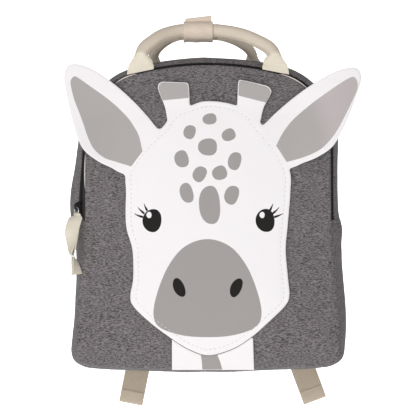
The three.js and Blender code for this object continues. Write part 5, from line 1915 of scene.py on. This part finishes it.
class BACKPACK_OT_webbing(BackpackOperator, Operator):
    """Threads the webbing from the base through the buckles"""

    bl_idname = "backpack.webbing"
    bl_label = "Strap Webbing"

    def build(self, form, size):
        for row in STRAP_SIDES:
            self.one(row)

    def one(self, row):
        form, size = self.form, self.size
        name, side, _, tail_share, reach = row
        back_face, _, buckle_z, buckle_y, x = strap_lines(form, size, row)
        pitch, bend = buckle_measures(size)
        layer = size.webbing_wall + size.seam_gap
        near = buckle_y - bend
        ax, az = side * size.anchor_spread / 2, form.base_z + size.anchor_rise
        ay = float(form.back_outer(ax, az)) + 2 * size.seam_gap + size.webbing_wall / 2
        anchor = np.array([ax, ay, az])
        tail_x, tail_z = side * tail_share * size.tail_spread / 2, reach * size.tail_reach
        tail = np.array([tail_x, back_face + 1 * MM, form.base_z - tail_z])
        path, ways = [], []

        def splay(start, end):
            return unit(np.array([start[2] - end[2], 0, end[0] - start[0]]))

        def add(place, way):
            path.append(place)
            ways.append(way)

        def droop(start, end, share, depth):
            return blend(start, end, share) + (0, math.sin(math.pi * share) * depth * MM, 0)

        flat = np.array([1.0, 0, 0])
        below = np.array([x, near - layer, buckle_z - pitch])
        load = splay(below, anchor)
        add(anchor, load)
        for share in (0.15, 0.3, 0.45, 0.6, 0.75, 0.88):
            add(droop(anchor, below, share, 4), load)
        add(below, flat)
        for i in range(13):
            angle = math.pi * (i / 8) - math.pi / 2
            deep = bend + max(0, -angle / math.pi) * 2 * layer
            round_y, round_z = math.sin(angle) * deep, math.cos(angle) * bend
            add(np.array([x, buckle_y + round_y, buckle_z + round_z]), flat)
        add(np.array([x, near, buckle_z - pitch + size.buckle_bar]), flat)
        out = np.array([x, near, buckle_z - pitch - size.buckle_bar])
        hang = splay(out, tail)
        add(out, flat)
        for share in (0.12, 0.25, 0.4, 0.55, 0.7, 0.82):
            add(droop(out, tail, share, 3), blend(flat, hang, min(1, share * 3)))
        hem_top = tail + unit(out - tail) * size.hem_length
        add(hem_top, hang)
        add(tail, hang)
        rows = through(np.hstack([np.array(path), np.array(ways)]), 4)
        work = Workpiece()
        work.band(rows[:, :3], rows[:, 3:], size.webbing_width, size.webbing_wall, 0.25, 26)
        self.hem(work, hem_top, tail, hang)
        solid = f"strap_webbing_{name}"
        self.hand_over(work, f"{solid}_band", "beige_webbing", solid, "beige")

    def hem(self, work, hem_top, tail, hang):
        """The folded end in front of the webbing, with its two rows of stitches."""
        size = self.size
        lift = np.array([0, -size.webbing_wall, 0])
        down = unit(tail - hem_top)
        line = through([
            hem_top + lift * 0.9,
            hem_top + down * 1.5 * MM + lift,
            tail - down * 1 * MM + lift,
            tail + down * 0.6 * MM + lift * 0.55,
        ], 5)
        work.band(line, hang, size.webbing_width, size.webbing_wall + 0.4 * MM, 0.28, 26)
        shape, faces = stitch_shape(2.3 * MM, 0.3 * MM)
        out = np.array([0, -1.0, 0])
        rows = []
        for along in (3 * MM, 5 * MM):
            for k in np.arange(-3, 4):
                spot = hem_top + down * along + hang * k * 3.1 * MM + lift * 1.5 - (0, 0.25 * MM, 0)
                rows.append((spot, hang, np.cross(out, hang), out))
        work.scatter(shape, faces, rows)


# Stage


class BACKPACK_OT_stage(Operator):
    """Sets up the camera, the pale floor and the soft light"""

    bl_idname = "backpack.stage"
    bl_label = "Stage"

    def execute(self, context):
        scene, stage = context.scene, context.scene.backpack_stage
        scene.view_settings.view_transform = "Standard"
        scene.view_settings.look = "None"
        camera = bpy.data.cameras.new("camera")
        camera.sensor_width = 36
        camera.lens = 36 * stage.camera_distance / stage.field
        camera.clip_end = 50
        eye = bpy.data.objects.new("camera", camera)
        eye.location = (0, -0.05 - stage.camera_distance, stage.camera_height)
        eye.rotation_euler = (math.pi / 2, 0, 0)
        scene.collection.objects.link(eye)
        scene.camera = eye
        self.backdrop(context, stage)
        world = bpy.data.worlds.new("studio")
        world.use_nodes = True
        background = world.node_tree.nodes["Background"]
        background.inputs["Color"].default_value = (1, 1, 1, 1)
        background.inputs["Strength"].default_value = stage.world
        scene.world = world
        self.light(context, "key", stage.key, 1.8, (-0.6, -2.4, -0.3))
        self.light(context, "top", stage.top, 1.6, (0.1, -0.9, 1.8))
        return {"FINISHED"}

    def backdrop(self, context, stage):
        made = []
        for name, glow in (("floor", 0.3), ("backdrop", 1.0)):
            constants = {"Roughness": 1.0, "Specular_IOR_Level": 0.0}
            finish = Finish(name, Emission_Color=(1, 1, 1, 1), Emission_Strength=glow, **constants)
            cloud = finish.noise(1.5, 2, 0.5)
            finish.colour(finish.mix(cloud, (0.93, 0.93, 0.93), (0.96, 0.96, 0.96)))
            made.append(finish.material)
        bend = 0.8
        foot_y = stage.wall_y - bend
        angle = np.linspace(0, np.pi / 2, 14)[1:]
        profile = [(-6, 0), (foot_y, 0)]
        profile += [(foot_y + math.sin(a) * bend, bend - math.cos(a) * bend) for a in angle]
        profile += [(stage.wall_y, 4)]
        across = np.linspace(-5, 5, 6)
        grid = np.array([[(x, y, stage.floor_z + z) for x in across] for y, z in profile])
        work = Workpiece()
        faces = grid_faces(len(profile), len(across)).tolist()
        work.add(grid, faces, [int(face[0] >= 2 * len(across)) for face in faces])
        sweep_floor = work.make("pale_floor", *made)

    def light(self, context, name, power, size, place):
        lamp = bpy.data.lights.new(name, "AREA")
        lamp.energy = power
        lamp.size = size
        holder = bpy.data.objects.new(name, lamp)
        holder.location = place
        aim = Vector((0, 0, -0.17)) - Vector(place)
        holder.rotation_euler = aim.to_track_quat("-Z", "Y").to_euler()
        context.scene.collection.objects.link(holder)


class BACKPACK_PT_panel(Panel):
    """Lists the backpack's pieces"""

    bl_idname = "BACKPACK_PT_panel"
    bl_label = "Backpack"
    bl_space_type = "VIEW_3D"
    bl_region_type = "UI"
    bl_category = "Backpack"

    def draw(self, context):
        for operator in OPERATORS:
            self.layout.operator(operator.bl_idname)


OPERATORS = (
    BACKPACK_OT_stage,
    BACKPACK_OT_front,
    BACKPACK_OT_sides,
    BACKPACK_OT_zip,
    BACKPACK_OT_head,
    BACKPACK_OT_neck,
    BACKPACK_OT_handles,
    BACKPACK_OT_wrap,
    BACKPACK_OT_slider,
    BACKPACK_OT_back,
    BACKPACK_OT_straps,
    BACKPACK_OT_buckles,
    BACKPACK_OT_webbing,
)

GROUPS = (BackpackSizes, BackpackColours, BackpackStage)


def register():
    for part in (*GROUPS, *OPERATORS, BACKPACK_PT_panel):
        bpy.utils.register_class(part)
    bpy.types.Scene.backpack_sizes = bpy.props.PointerProperty(type=BackpackSizes)
    bpy.types.Scene.backpack_colours = bpy.props.PointerProperty(type=BackpackColours)
    bpy.types.Scene.backpack_stage = bpy.props.PointerProperty(type=BackpackStage)


def unregister():
    del bpy.types.Scene.backpack_stage
    del bpy.types.Scene.backpack_colours
    del bpy.types.Scene.backpack_sizes
    for part in reversed((*GROUPS, *OPERATORS, BACKPACK_PT_panel)):
        bpy.utils.unregister_class(part)


def main():
    register()
    for operator in OPERATORS:
        group, name = operator.bl_idname.split(".")
        getattr(getattr(bpy.ops, group), name)()


if __name__ == "__main__":
    main()
